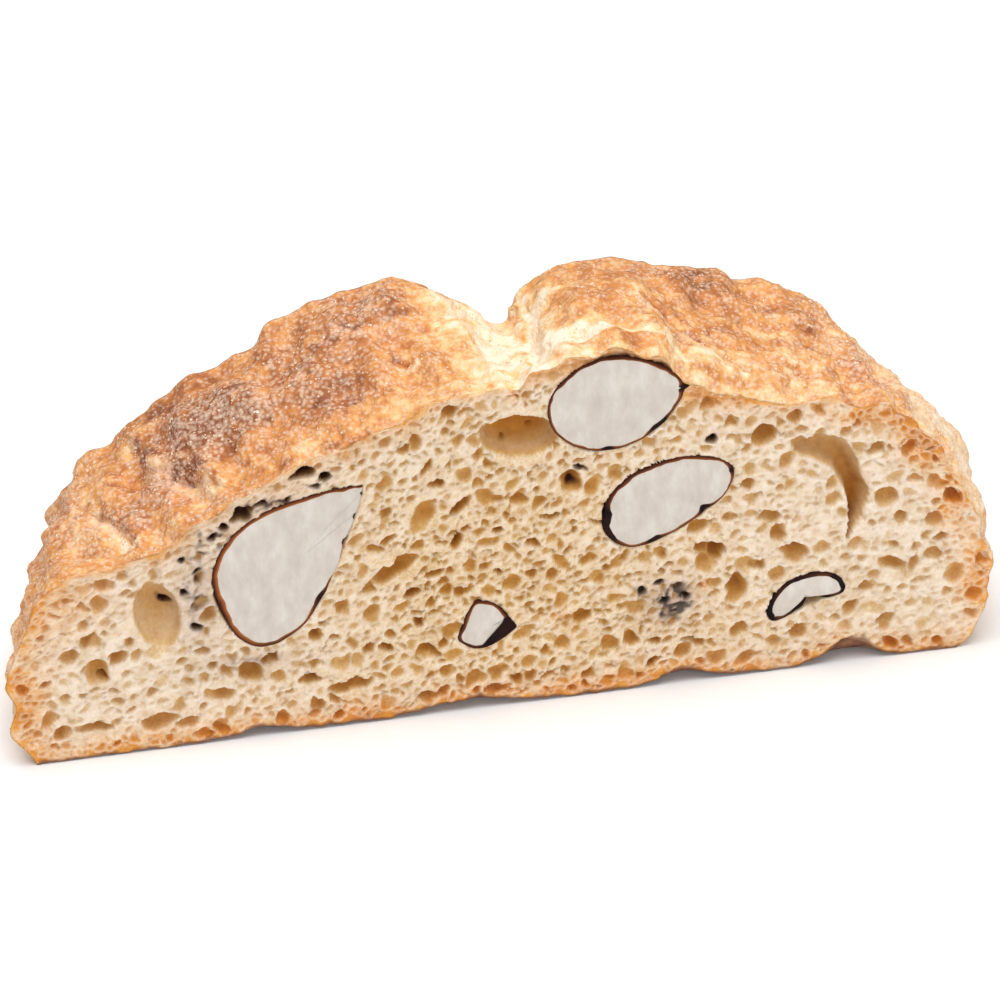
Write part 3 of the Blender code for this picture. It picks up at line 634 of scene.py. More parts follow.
def bubble_field(face, rim, rng):
    """Depth fields of one face's opened bubbles, which are large, small, dark or great, the pale walls
    between them, partly painted highlight, and the distances to the crust and to the almonds. The dark field
    paints near-black into deep holes: painted shade, and char at the stain."""
    outline = closed_rim(rim)
    edge_distance = distance_to(outline)
    room = np.where(inside_outline(outline[::3]), edge_distance, -1.0)
    almond_distance = np.full(room.shape, 99.0)
    almond_inside = np.zeros(room.shape, bool)
    for side, *form, _ in KERNELS.values():
        if side == face:
            kernel = kernel_outline(*form, 72)
            almond_distance = np.minimum(almond_distance, distance_to(kernel))
            almond_inside |= inside_outline(kernel)
    almond_distance = np.where(almond_inside, -almond_distance, almond_distance)
    room = np.minimum(room, almond_distance + 0.1)
    large, small, dark, great, walls_and_highlights = (np.zeros(room.shape) for _ in range(5))
    if face < 0:
        press_crescent(great, walls_and_highlights)
    calm = (great > 0.05) | (walls_and_highlights > 0.2)
    named, charred_and_shaded = (FRONT_BUBBLES, DARK_BUBBLES) if face < 0 else ((), ())
    for bubble in named[2:] + charred_and_shaded:
        press(large, *bubble, 0.8, 0.3, walls_and_highlights)
    # Painted shade: the dark bubbles are coloured near-black a little beyond their rims.
    for x, z, wide, high, tilt, _ in charred_and_shaded:
        press(dark, x, z, wide + 0.25, high + 0.25, tilt, 1.4)
    # The great bubbles lean deeper towards the top, so their floors, coloured by depth, are darker there:
    # painted shade.
    if face < 0:
        for bubble in FRONT_BUBBLES[:2]:
            press(great, *bubble, 0.5, 0.4)
    kept = [(x, z, (wide + high) / 2) for x, z, wide, high, _, _ in named + charred_and_shaded] or [(0.0, -9.0, 0.1)]
    room_left = np.where(calm | (np.maximum(large, great) > 0.3), 0.35, room)
    medium_sizes = FRONT_MEDIUM if face < 0 else BACK_MEDIUM
    medium = scatter_bubbles(rng, MEDIUM_BUBBLES, medium_sizes, 1.15, room_left, kept)
    for x, z, radius in medium:
        draw_out = rng.uniform(1.0, 1.35)
        tilt = flow_angle(x, z) + rng.normal(0, 40)
        hole = min(radius, 0.9) * rng.uniform(0.5, 1.6)
        wide, high = radius * draw_out * 1.1, radius / draw_out**0.6 * 1.1
        press(large, x, z, wide, high, tilt, hole, 0.8, 0.2, walls_and_highlights)
    room_left = np.where(calm | (great > 0.05), 0.1, room)
    for x, z, radius in scatter_bubbles(rng, FINE_BUBBLES, FINE_SIZES, 1.0, room_left, medium + kept):
        draw_out = rng.uniform(1.0, 1.5)
        tilt = flow_angle(x, z) + rng.normal(0, 50)
        middle = math.exp(-(((x - 2) / 22) ** 2))
        hole = radius * (0.3 + (0.6 + 1.2 * middle) * rng.random() ** 1.3)
        wide, high = radius * draw_out * 1.1, radius / draw_out**0.5 * 1.1
        press(small, x, z, wide, high, tilt, hole, 0.9, 0.2, walls_and_highlights)
    return large, small, dark, great, walls_and_highlights, edge_distance, almond_distance


def closed_mesh(name, places, faces, **numbers):
    """A smooth-shaded object from places in millimetres, with a number of each name kept at every place
    for its material to read."""
    mesh = bpy.data.meshes.new(name)
    mesh.from_pydata(np.asarray(places) * 0.001, [], faces)
    mesh.shade_smooth()
    for key, values in numbers.items():
        kept = mesh.attributes.new(key, "FLOAT", "POINT").data
        kept.foreach_set("value", np.asarray(values, np.float32).ravel())
    mesh.update()
    piece = bpy.data.objects.new(name, mesh)
    bpy.context.scene.collection.objects.link(piece)
    return piece


def grid_faces(rows, columns, joined=None, flip=False):
    """Four-sided faces between neighbouring places of a grid, row by row. Its last row is joined to its
    first one where joined is 0, and its last column to its first one where it is 1."""
    index = np.arange(rows * columns).reshape(rows, columns)
    if joined is not None:
        index = np.concatenate([index, index.take([0], axis=joined)], axis=joined)
    quads = np.stack([index[:-1, :-1], index[:-1, 1:], index[1:, 1:], index[1:, :-1]], axis=-1).reshape(-1, 4)
    return (quads[:, ::-1] if flip else quads).tolist()


def left_of(edge, span, closed=True):
    """Unit vectors to the left of an edge, from the places up to span before and after each place."""
    run = np.roll(edge, -span, axis=0) - np.roll(edge, span, axis=0)
    if not closed:
        run[:span], run[-span:] = run[span], run[-span - 1]
    return np.stack([-run[:, 1], run[:, 0]], axis=1) / np.linalg.norm(run, axis=1)[:, None]


def wall_rings(face):
    """The rings of the wall behind one face, each inside the crust by its own distance."""
    rings = []
    for deep, inside in WALL_RINGS:
        bottom, top, left, right = face_rim(face * (HALF - deep))
        edge = np.vstack([bottom, right[1:], top[-2::-1], left[-2:0:-1]])
        edge = edge + left_of(edge, EDGE_SPAN) * inside
        rings.append(np.stack([edge[:, 0], np.full(len(edge), face * (HALF - deep)), edge[:, 1]], axis=1))
    return rings


def patches(x, z, table):
    """Sum of bell-shaped patches: x, z, half width along each, and strength."""
    total = np.zeros(x.shape)
    for place_x, place_z, wide, high, strength in table:
        total += strength * np.exp(-(((x - place_x) / wide) ** 2) - ((z - place_z) / high) ** 2)
    return total


def crumb_face(name, face, seed):
    """One cut face: the stretched patch at y = face * HALF, pressed in by its bubbles, then a wall 0.9 to
    1.7 mm inside the crust, and a flat back 5 mm in."""
    rng = np.random.default_rng(seed)
    rim = face_rim(face * HALF)
    large, small, dark, great, walls_and_highlights, edge_distance, almond_distance = bubble_field(face, rim, rng)
    patch = kept_inside(stretched_patch(*rim), closed_rim(rim))
    rows, columns = patch.shape[:2]
    x, z = patch[..., 0], patch[..., 1]
    places = np.stack([x, 0 * x + face * 40, z], axis=-1)
    warps = [
        sum(reach * lattice_noise(places, size, first + k) for size, reach, first in WARPS) for k in (0, 1)
    ]
    near_rim = look_up(edge_distance, x, z)
    steady = (near_rim / 0.8).clip(0, 1)
    seen_x, seen_z = x + warps[0] * steady, z + warps[1] * steady
    great = look_up(great, x + 0.3 * warps[0], z + 0.3 * warps[1])
    big = np.maximum(look_up(large, seen_x, seen_z), great)
    fine = look_up(small, seen_x, seen_z)
    crusted = (patches(x, z, CRUSTED) * (face < 0) * (1 + 0.5 * lattice_noise(places, 1.2, 28))).clip(0, 1)
    depth = (big + fine * (1 - 0.55 * (big / 0.8).clip(0, 1))) * (1 - 0.85 * crusted)
    depth = depth + 0.35 * crusted * (1 + layered_noise(places, 1.4, 35))
    walls_and_highlights = look_up(walls_and_highlights, seen_x, seen_z) * (1 - depth / 0.35).clip(0)
    crumbly = 0.06 * (1 + lattice_noise(places, 0.5, 17)) + 0.06 * (1 + lattice_noise(places, 1.3, 18))
    uneven = 0.2 * (big / 1.5).clip(0, 1) * layered_noise(places, 1.1, 19)
    depth = (depth + crumbly - 0.12 * walls_and_highlights + uneven).clip(0)
    away = look_up(almond_distance, x, z)
    socket = ((0.15 - away) / 0.4).clip(0, 1)
    depth = depth * (1 - socket) + 1.4 * socket
    row, column = np.indices((rows, columns))
    from_rim = np.minimum(np.minimum(row, rows - 1 - row), np.minimum(column, columns - 1 - column))
    depth = depth * (near_rim / 0.25).clip(0, 1)
    depth = np.minimum(depth, look_up(deepest(face), x, z)) * (from_rim / 2).clip(0, 1)
    depth = np.minimum(depth, np.interp(near_rim, *RIM_LIMITS))
    mottle = layered_noise(places, 2.2, 24)
    rimness = (np.exp(-near_rim / 1.3) + patches(x, z, BROWNINGS)) * (0.75 + 0.9 * mottle)
    golden = patches(x, z, GOLDEN) * (0.9 + 0.5 * mottle)
    soot = patches(x, z, STAINS_AND_SHADE[:CHARRED_STAINS]) * (face < 0)
    haze = (patches(x, z, HAZES) * (face < 0)) * (0.9 + 0.5 * mottle)
    dark = look_up(dark, seen_x, seen_z)
    # Dark specked patches at the stain and round the left almond: the stain's char and specks, with painted
    # shade round the almond.
    specked = 0.9 + 1.3 * lattice_noise(places, 1.0, 33) + 1.5 * lattice_noise(places, 0.5, 34)
    smudge_and_shade = patches(x, z, STAINS_AND_SHADE) * (face < 0) * specked - 0.35
    dark = np.maximum(dark, smudge_and_shade.clip(0, 1))
    # Painted shadow: a dark line along the almond under the crust's lip.
    dark = np.maximum(dark, 0.8 * crusted * np.exp(-(((away - 0.25) / 0.3) ** 2)))
    sole = (1.2 - (z - z[0]) / 0.4 + 0.6 * lattice_noise(places, 1.2, 36)).clip(0, 1)
    front = np.stack([x, face * (HALF - depth), z], axis=-1).reshape(-1, 3)
    ring = np.concatenate([
        np.arange(columns),
        np.arange(1, rows) * columns + columns - 1,
        (rows - 1) * columns + np.arange(columns - 2, -1, -1),
        np.arange(rows - 2, 0, -1) * columns,
    ])
    wall = wall_rings(face)
    faces = grid_faces(rows, columns, flip=face > 0)
    start = rows * columns
    ends = [ring] + [start + k * len(ring) + np.arange(len(ring)) for k in range(len(wall))]
    for outer, inner in zip(ends, ends[1:]):
        quads = np.stack([outer, inner, np.roll(inner, -1), np.roll(outer, -1)], axis=1)
        faces += (quads[:, ::-1] if face > 0 else quads).tolist()
    faces.append(ends[-1][::-face].tolist())
    hidden = np.zeros(len(wall) * len(ring))
    numbers = {
        "depth": depth * (0.74 + 0.34 * np.exp(-((x / 30) ** 2))),
        "golden": golden,
        "walls_and_highlights": walls_and_highlights,
        "crusted": crusted,
        "great": great,
        "rimness": rimness,
        "haze": haze,
        "char_and_shade": dark,
        "soot": soot,
        "sole": sole,
    }
    numbers = {key: np.append(part, hidden) for key, part in numbers.items()}
    return closed_mesh(name, np.vstack([front] + wall), faces, **numbers)


crumb_front = crumb_face("crumb_front", -1, 21)
crumb_back = crumb_face("crumb_back", 1, 22)


def linear(code):
    """The linear colour of an sRGB hex code."""
    parts = [int(code[k:k + 2], 16) / 255 for k in (1, 3, 5)]
    return tuple(c / 12.92 if c <= 0.04045 else ((c + 0.055) / 1.055) ** 2.4 for c in parts) + (1.0,)


def add(tree, kind, links=None, inputs=None, **settings):
    """Add a node to a material, with its settings, its input values and its incoming links."""
    node = tree.nodes.new(kind)
    for key, value in settings.items():
        setattr(node, key, value)
    for key, value in (inputs or {}).items():
        node.inputs[key].default_value = value
    for key, source in (links or {}).items():
        tree.links.new(source, node.inputs[key])
    return node


def ramp(tree, source, *stops):
    """A colour ramp through hex colours at their places."""
    node = add(tree, "ShaderNodeValToRGB", {"Fac": source})
    elements = node.color_ramp.elements
    while len(elements) < len(stops):
        elements.new(0.5)
    for element, (place, code) in zip(elements, stops):
        element.position = place
        element.color = linear(code)
    return node.outputs["Color"]


def scaled(tree, source, low, high, to_low=0.0, to_high=1.0):
    """A value moved from one range to another and clamped."""
    node = add(tree, "ShaderNodeMapRange", {"Value": source})
    for key, value in zip(("From Min", "From Max", "To Min", "To Max"), (low, high, to_low, to_high)):
        node.inputs[key].default_value = value
    return node.outputs["Result"]


def combined(tree, first, second, operation="ADD"):
    """The sum of two values, or their difference."""
    return add(tree, "ShaderNodeMath", {0: first, 1: second}, operation=operation).outputs[0]


def mixed(tree, share, first, second, blend="MIX"):
    """Two colours mixed by a share, which is a number or a socket."""
    node = add(tree, "ShaderNodeMix", data_type="RGBA", blend_type=blend)
    for index, value in ((0, share), (6, first), (7, second)):
        if isinstance(value, bpy.types.NodeSocket):
            tree.links.new(value, node.inputs[index])
        else:
            node.inputs[index].default_value = linear(value) if isinstance(value, str) else value
    return node.outputs[2]


def new_material(name):
    """An empty Principled material, with its tree, its shader and the Object coordinates."""
    material = bpy.data.materials.new(name)
    material.use_nodes = True
    tree = material.node_tree
    shader = tree.nodes["Principled BSDF"]
    coordinates = add(tree, "ShaderNodeTexCoord").outputs["Object"]
    return material, tree, shader, coordinates


def attribute(tree, name):
    """A number kept on the mesh."""
    return add(tree, "ShaderNodeAttribute", attribute_name=name).outputs["Fac"]


def noise(tree, coordinates, millimetres, detail=3.0, roughness=0.6):
    """Noise whose features are about so many millimetres wide."""
    node = add(tree, "ShaderNodeTexNoise", {"Vector": coordinates})
    node.inputs["Scale"].default_value = 1000.0 / millimetres
    node.inputs["Detail"].default_value = detail
    node.inputs["Roughness"].default_value = roughness
    return node.outputs["Fac"]


def bump(tree, shader, height, strength, millimetres):
    """Raise the surface's shading by a height pattern."""
    node = add(tree, "ShaderNodeBump", {"Height": height})
    node.inputs["Strength"].default_value = strength
    node.inputs["Distance"].default_value = millimetres * 0.001
    tree.links.new(node.outputs["Normal"], shader.inputs["Normal"])


# Material: dry baked crumb. The walls between bubbles are cream, nearly white where thin, with pale rims
# that are partly a painted highlight; the insides of the bubbles are tan to ochre and darken with depth,
# partly their own colour and partly painted shade, and the crumb browns in the last millimetres under the
# crust.
material, tree, shader, coordinates = new_material("baked_crumb")
speckle = noise(tree, coordinates, 0.32, 3.0, 0.75)
deep = combined(tree, attribute(tree, "depth"), scaled(tree, speckle, 0.35, 0.65, -0.14, 0.16))
TONE_PLACES = (0.0, 0.07, 0.15, 0.3, 0.55, 1.0)  # from the walls to the floors of the bubbles
INSIDE_TONES = ("#F6EFE3", "#F3E6D2", "#EAD8B8", "#DCBB83", "#CB9A52", "#B37C38")
YOLKY_TONES = ("#F1E1C6", "#E9D2A8", "#DDBD84", "#CEA052", "#BE8630", "#A0681C")
BURNT_TONES = ("#F3C27A", "#EEB15E", "#E59F46", "#D28A35", "#B66F28", "#8E5420")
# The tones darken with depth: partly the crumb's own tan, partly painted shade in the bubbles.
inside = ramp(tree, scaled(tree, deep, 0.0, 2.0), *zip(TONE_PLACES, INSIDE_TONES))
yolky = ramp(tree, scaled(tree, deep, 0.0, 2.0), *zip(TONE_PLACES, YOLKY_TONES))
scorched = combined(tree, deep, scaled(tree, attribute(tree, "rimness"), 0.7, 2.0, 0.0, 0.4))
burnt = ramp(tree, scaled(tree, scorched, 0.0, 2.0), *zip(TONE_PLACES, BURNT_TONES))
browned = attribute(tree, "rimness")
crumb_tone = mixed(tree, browned, mixed(tree, attribute(tree, "golden"), inside, yolky), burnt)
# The great bubbles' floors darken with depth and towards their tops: painted shade.
floor_depth = scaled(tree, deep, 0.8, 4.2)
floor_tone = ramp(tree, floor_depth, (0.0, "#E0C7A2"), (0.3, "#CAA166"), (0.6, "#C18428"), (1.0, "#AC6810"))
crumb_tone = mixed(tree, scaled(tree, attribute(tree, "great"), 0.4, 1.2), crumb_tone, floor_tone)
# Pale rims round the bubbles: partly the walls' colour, partly painted highlight.
crumb_tone = mixed(tree, scaled(tree, attribute(tree, "walls_and_highlights"), 0.1, 1.0, 0.0, 0.5), crumb_tone, "#F6EEE4")
hue = ramp(tree, noise(tree, coordinates, 0.5, 2.0, 0.6), (0.35, "#FFF5F2"), (0.65, "#FFF8EA"))
crumb_tone = mixed(tree, 1.0, crumb_tone, hue, "MULTIPLY")
patchy = ramp(tree, noise(tree, coordinates, 1.6, 3.0, 0.6), (0.35, "#F0E6D8"), (0.6, "#FFFFFF"))
crumb_tone = mixed(tree, 1.0, crumb_tone, patchy, "MULTIPLY")
lip_grain = noise(tree, coordinates, 0.7, 4.0, 0.75)
lip_tone = ramp(tree, lip_grain, (0.32, "#CC8648"), (0.5, "#E8AE72"), (0.66, "#F7DDBC"))
crumb_tone = mixed(tree, attribute(tree, "crusted"), crumb_tone, lip_tone)
hazy = attribute(tree, "haze")
crumb_tone = mixed(tree, hazy, crumb_tone, mixed(tree, 1.0, crumb_tone, "#D0C6CC", "MULTIPLY"))
crumb_tone = mixed(tree, scaled(tree, attribute(tree, "sole"), 0.2, 1.0, 0.0, 0.85), crumb_tone, "#7A4A30")
# Near-black: char at the stain, painted shade in the dark holes, and a painted shadow under the lip.
charred_and_shaded = mixed(tree, attribute(tree, "soot"), "#3A1506", "#2A201B")
crumb_tone = mixed(tree, scaled(tree, attribute(tree, "char_and_shade"), 0.1, 1.1), crumb_tone, charred_and_shaded)
tree.links.new(crumb_tone, shader.inputs["Base Color"])
shader.inputs["Roughness"].default_value = 0.72
shader.inputs["IOR"].default_value = 1.45
bump(tree, shader, speckle, 0.3, 0.2)
for piece in (crumb_front, crumb_back):
    piece.data.materials.append(material)
    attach(piece, "root")
    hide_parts("biscuit")

# The crust: the outer millimetre of the loaf, dried and browned in the oven and dusted with sugar. It
# is carried from the front cut edge to the back one, and closed by an inner side 0.55 to 1.6 mm below.
CRUST_ROWS = 104  # of its grid, from cut to cut
INNER_ROWS = ((0.6, 0.55), (1.8, 1.2), (6.0, 1.6))  # distance from a cut, and thickness there
MIDDLE_THICK = 1.6
TRAY_THICK = 0.6  # of the slab that the inner side ends on
TOAST = 0.44  # how brown and how dusty the crust is where no patch lies
DUST = 0.35
SPECK = 0.5  # size of the specks of dust
TONES = (
    (-48.0, 3.0, 4.0, 9.0, 0.10, 0.14),  # left top: x, y, half width along x and y, browner, dustier
    (-44.0, -3.0, 2.6, 3.4, -0.08, 0.45),  # pale ridge beside the flap
    (-44.5, 6.0, 3.0, 4.0, 0.04, 0.25),
    (-38.4, 2.2, 1.8, 1.8, 0.02, -0.3),  # hollow
    (-37.0, -4.0, 4.0, 3.0, 0.20, 0.3),  # flap
    (-36.0, -8.5, 5.0, 2.0, -0.06, 0.2),
    (-31.5, 2.0, 4.6, 5.6, 0.50, 0.40),  # boulder
    (-33.0, 9.5, 7.0, 1.8, 0.25, -0.3),  # its back rim
    (-26.5, -1.0, 3.5, 4.0, 0.22, 0.35),
    (-26.0, -8.5, 5.0, 2.2, 0.0, 0.0),
    (-18.5, 2.0, 5.5, 7.0, 0.34, 0.12),  # slope
    (-17.5, -5.0, 3.0, 2.6, 0.30, 0.0),
    (-21.0, -9.0, 1.6, 1.6, -0.25, 0.3),
    (-13.0, -8.5, 5.0, 2.2, -0.10, -0.1),
    (-11.5, 7.0, 4.0, 3.6, 0.26, 0.25),  # brow
    (-9.3, 2.6, 3.2, 1.4, 0.18, 0.0),
    (-9.8, -2.6, 1.2, 1.0, 0.24, -0.1),
    (0.0, 0.0, 5.6, 16.0, -0.46, 0.0),  # cleft, hardly baked
    (4.6, 3.0, 2.2, 12.0, -0.20, -0.1),
    (9.0, -6.4, 4.6, 1.9, -0.42, 0.1),  # dish behind the lip
    (11.0, 6.0, 4.0, 5.0, 0.02, -0.05),
    (8.5, -10.4, 6.5, 1.8, -0.26, 0.12),  # lip
    (12.5, -8.8, 2.4, 1.2, 0.22, -0.3),
    (21.5, 6.8, 4.6, 4.2, 0.32, 0.15),  # crown
    (25.0, 8.0, 2.6, 3.0, 0.22, 0.0),
    (17.6, -1.6, 1.2, 1.6, 0.16, -0.2),
    (19.5, -7.6, 3.0, 1.6, -0.30, 0.1),  # cream below the crack
    (27.5, -2.8, 1.6, 1.2, 0.16, -0.2),
    (28.5, 6.0, 1.6, 1.6, 0.12, -0.2),  # nodule
    (31.0, 0.0, 5.0, 6.0, 0.02, 0.2),
    (26.0, -9.0, 8.0, 2.5, -0.18, 0.2),
    (38.0, 2.0, 3.0, 6.0, 0.02, 0.4),
    (40.0, -4.0, 2.2, 3.0, 0.10, 0.3),
    # The right flank and end are paler and dustier: dust, and painted light against the shade that side lies
    # in.
    (46.0, 1.0, 4.5, 14.0, -0.36, 0.85),  # right flank
    (51.0, 0.0, 2.5, 12.0, -0.26, 0.7),
    (-53.5, 0.0, 2.6, 14.0, -0.18, 0.55),  # left end
)
# Small patches with sharper edges, in the same columns
SPOTS = (
    (-37.0, 2.4, 1.9, 1.5, 0.16, -0.5),
    (-38.8, 1.4, 0.9, 0.5, -0.08, 0.5),
    (-37.4, 0.2, 0.9, 0.6, -0.08, 0.5),
    (-36.1, -1.8, 0.8, 0.8, -0.08, 0.4),
    (-34.5, -2.2, 0.8, 0.5, 0.60, -0.6),
    (-18.5, -10.2, 1.3, 0.5, 0.30, -0.3),
    (-16.2, -10.6, 0.9, 0.4, 0.30, -0.3),
    (-23.3, -10.0, 0.9, 0.6, 0.28, -0.3),
    (-28.4, -4.0, 1.1, 0.7, 0.25, -0.5),
    (-19.3, -4.2, 0.6, 0.5, 0.35, -0.3),
    (-24.3, -2.7, 0.6, 0.6, 0.30, -0.3),
    (31.6, 4.3, 1.4, 0.9, 0.26, -0.4),
    (33.8, 3.0, 0.6, 0.5, 0.25, -0.3),
    (29.8, -2.5, 0.7, 0.5, 0.28, -0.3),
    (34.7, 0.2, 0.7, 0.5, 0.34, -0.3),
    (33.7, -2.0, 0.6, 0.5, 0.25, -0.3),
    (22.6, -9.9, 2.2, 0.4, 0.26, -0.3),
    (12.0, -9.6, 2.6, 0.5, 0.22, -0.3),
    (11.1, -3.3, 1.4, 0.6, 0.20, -0.2),
    (38.6, -5.3, 1.0, 0.7, 0.22, 0.0),
)


def crust_tones(x, y, z):
    """How brown and how dusty the crust is: bell-shaped patches with strayed edges, mottling, and along each
    ledge a painted shadow in its groove and a paler strip below it.
    """
    places = np.stack([x, y, z], axis=-1)
    stray_x, stray_y = (1.5 * layered_noise(places, 5.0, 60 + 4 * k) for k in (0, 1))
    brown, dusty = np.full(x.shape, TOAST), np.full(x.shape, DUST)
    for table, astray in ((TONES, 1.0), (SPOTS, 0.3)):
        strayed_x, strayed_y = x + astray * stray_x, y + astray * stray_y
        for patch_x, patch_y, wide, deep, browner, dustier in table:
            near = np.exp(-(((strayed_x - patch_x) / wide) ** 2) - ((strayed_y - patch_y) / deep) ** 2)
            brown += browner * near
            dusty += dustier * near
    brown += 0.22 * layered_noise(places, 2.4, 50) + 0.12 * lattice_noise(places, 0.8, 55)
    brown -= 0.45 * strata(x, y, z)
    dusty += 0.20 * layered_noise(places, 3.5, 56)
    # Each ledge gets a browner line in its groove, a painted shadow, and a paler, dustier strip on its low
    # side: dust and painted highlight.
    for half_width, reach, height, deep, *way in LEDGES:
        away = way_distance(x + stray_x * 0.3, y + stray_y * 0.3, way)
        strong = min(2 * deep, 0.6)
        low_side = strong * np.exp(-(((away * math.copysign(1, height) + 0.9) / 0.6) ** 2))
        brown += 0.4 * strong * np.exp(-((away / 0.35) ** 2)) - 0.3 * low_side
        dusty += 0.7 * low_side
    return brown, dusty


def closed_band(rings, flip=False):
    """Places and faces of a band whose last row joins its first one, with a face over each open end."""
    rows, columns = rings.shape[:2]
    index = np.arange(rows * columns).reshape(rows, columns)
    ends = [index[::-1, 0], index[:, -1]]
    faces = grid_faces(rows, columns, joined=0, flip=flip)
    return rings.reshape(-1, 3), faces + [(end[::-1] if flip else end).tolist() for end in ends]


def crust_shell():
    """The band over both ends and the top: skin(t, y) on a grid, then an inner side below it."""
    t = np.concatenate([LEFT_ROWS, TOP_ROWS[1:], RIGHT_ROWS[1:]])
    y = np.linspace(-HALF, HALF, CRUST_ROWS + 1)
    grid_t, grid_y = np.meshgrid(t, y)
    x, z = skin(grid_t, grid_y)
    outer = np.stack([x, grid_y, z], axis=-1)
    back_rows = [(HALF - deep, thick) for deep, thick in INNER_ROWS]
    front_rows = [(deep - HALF, thick) for deep, thick in INNER_ROWS]
    inner = []
    for row_y, thick in back_rows + [(0.0, MIDDLE_THICK)] + front_rows[::-1]:
        edge = np.stack(skin(t, np.array(row_y)), axis=1)
        edge = edge - left_of(edge, EDGE_SPAN, closed=False) * thick
        inner.append(np.stack([edge[:, 0], np.full(len(t), row_y), edge[:, 1].clip(TRAY_THICK)], axis=1))
    return outer, *closed_band(np.concatenate([outer, np.array(inner)]), flip=True)


crust_grid, crust_places, crust_faces = crust_shell()
brown, dusty = crust_tones(*crust_places.T)
grain = sum(
    height * lattice_noise(crust_places * GRAIN_STRETCH, size, GRAIN_SEED + number)
    for number, (size, height) in enumerate(GRAIN_LAYERS)
)
crust = closed_mesh("crust", crust_places, crust_faces, brown=brown, dusty=dusty, grain=grain)
material, tree, shader, coordinates = new_material("baked_crust")
speckle = noise(tree, coordinates, 1.3, 3.0, 0.65)
toast = combined(tree, attribute(tree, "brown"), scaled(tree, speckle, 0.3, 0.7, -0.14, 0.22))
# Browner in the hollows of the grain and paler on its tops: painted shade and painted highlight.
hollow = combined(tree, toast, scaled(tree, attribute(tree, "grain"), -0.35, 0.35, 0.12, -0.10))
CRUST_TONES = ("#F8E6CC", "#F1C78C", "#DF9D59", "#CA8145", "#AE6937", "#8A4E2C")
tone = ramp(tree, hollow, *zip((0.0, 0.2, 0.4, 0.6, 0.8, 1.0), CRUST_TONES))
dust_share = attribute(tree, "dusty")
drifts = scaled(tree, noise(tree, coordinates, 1.6, 3.0, 0.6), 0.3, 0.7, -0.3, 0.3)
spread = combined(tree, dust_share, drifts)
specks = add(tree, "ShaderNodeTexVoronoi", {"Vector": coordinates}, {"Scale": 1000.0 / SPECK})
ragged = scaled(tree, noise(tree, coordinates, 0.6, 2.0, 0.6), 0.3, 0.7, -0.22, 0.22)
uneven = combined(tree, specks.outputs["Distance"], ragged)
flour = combined(tree, scaled(tree, spread, 0.0, 1.1, 0.1, 0.6), uneven, "SUBTRACT")
dusted = mixed(tree, scaled(tree, flour, -0.36, 0.28, 0.0, 0.54), tone, "#F3DCC4")
tree.links.new(dusted, shader.inputs["Base Color"])
shader.inputs["Roughness"].default_value = 0.62
shader.inputs["IOR"].default_value = 1.45
crumbs = scaled(tree, noise(tree, coordinates, 0.9, 3.0, 0.7), 0.3, 0.7, -0.5, 0.5)
bump(tree, shader, combined(tree, flour, crumbs), 0.4, 0.25)
crust.data.materials.append(material)
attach(crust, "root")
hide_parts("biscuit")

# The sugar: grains strewn over the loaf before baking, two to four tenths of a millimetre across, stuck
# in the crust where it is dusty. Each is a small eight-sided crystal, turned every way.
GRAINS = 7000
GRAIN_SIZES = (0.10, 0.22)  # from the middle to a corner
CUT_MARGIN, FLOOR_MARGIN = 0.1, 0.3  # that the middles keep from the cuts and from the table


def sugar_grains(rng):
    """Eight-sided crystals at random places of the crust grid, chosen by dustiness and by area."""
    rows, columns = crust_grid.shape[:2]
    along = np.gradient(crust_grid, axis=1)
    across = np.gradient(crust_grid, axis=0)
    normal = np.cross(along, across)
    area = np.linalg.norm(normal, axis=-1)
    normal = -normal / area[..., None]
    wish = (area * dusty[:rows * columns].reshape(rows, columns).clip(0.03, 1.2) ** 1.3).ravel()
    chosen = rng.choice(rows * columns, GRAINS, p=wish / wish.sum())
    slide = rng.uniform(-0.5, 0.5, (2, GRAINS, 1))
    centre = crust_grid.reshape(-1, 3)[chosen] + along.reshape(-1, 3)[chosen] * slide[0]
    centre = centre + across.reshape(-1, 3)[chosen] * slide[1]
    size = rng.uniform(*GRAIN_SIZES, (GRAINS, 1))
    centre = centre + normal.reshape(-1, 3)[chosen] * size * 0.4
    centre[:, 1] = centre[:, 1].clip(-HALF + CUT_MARGIN, HALF - CUT_MARGIN)
    centre[:, 2] = centre[:, 2].clip(FLOOR_MARGIN)
    first = rng.normal(size=(GRAINS, 3))
    first /= np.linalg.norm(first, axis=1)[:, None]
    second = np.cross(first, rng.normal(size=(GRAINS, 3)))
    second /= np.linalg.norm(second, axis=1)[:, None]
    third = np.cross(first, second)
    arms = np.stack([first, second, third], axis=1) * size[..., None] * rng.uniform(0.7, 1.3, (GRAINS, 3, 1))
    corners = np.concatenate([centre[:, None] + arms, centre[:, None] - arms], axis=1)
    sides = np.array([(0, 1, 2), (1, 3, 2), (3, 4, 2), (4, 0, 2), (1, 0, 5), (3, 1, 5), (4, 3, 5), (0, 4, 5)])
    faces = (np.arange(GRAINS)[:, None, None] * 6 + sides[None]).reshape(-1, 3)
    return corners.reshape(-1, 3), faces.tolist()


sugar = closed_mesh("sugar_grains", *sugar_grains(np.random.default_rng(8)))
sugar.data.shade_flat()
material, tree, shader, coordinates = new_material("sugar_crystals")
shade = noise(tree, coordinates, 1.0, 2.0, 0.6)
tone = ramp(tree, shade, (0.3, "#DCB08A"), (0.5, "#E6C6A8"), (0.7, "#F1DECF"))
tree.links.new(tone, shader.inputs["Base Color"])
shader.inputs["Roughness"].default_value = 0.5
shader.inputs["IOR"].default_value = 1.54
sugar.data.materials.append(material)
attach(sugar, "root")

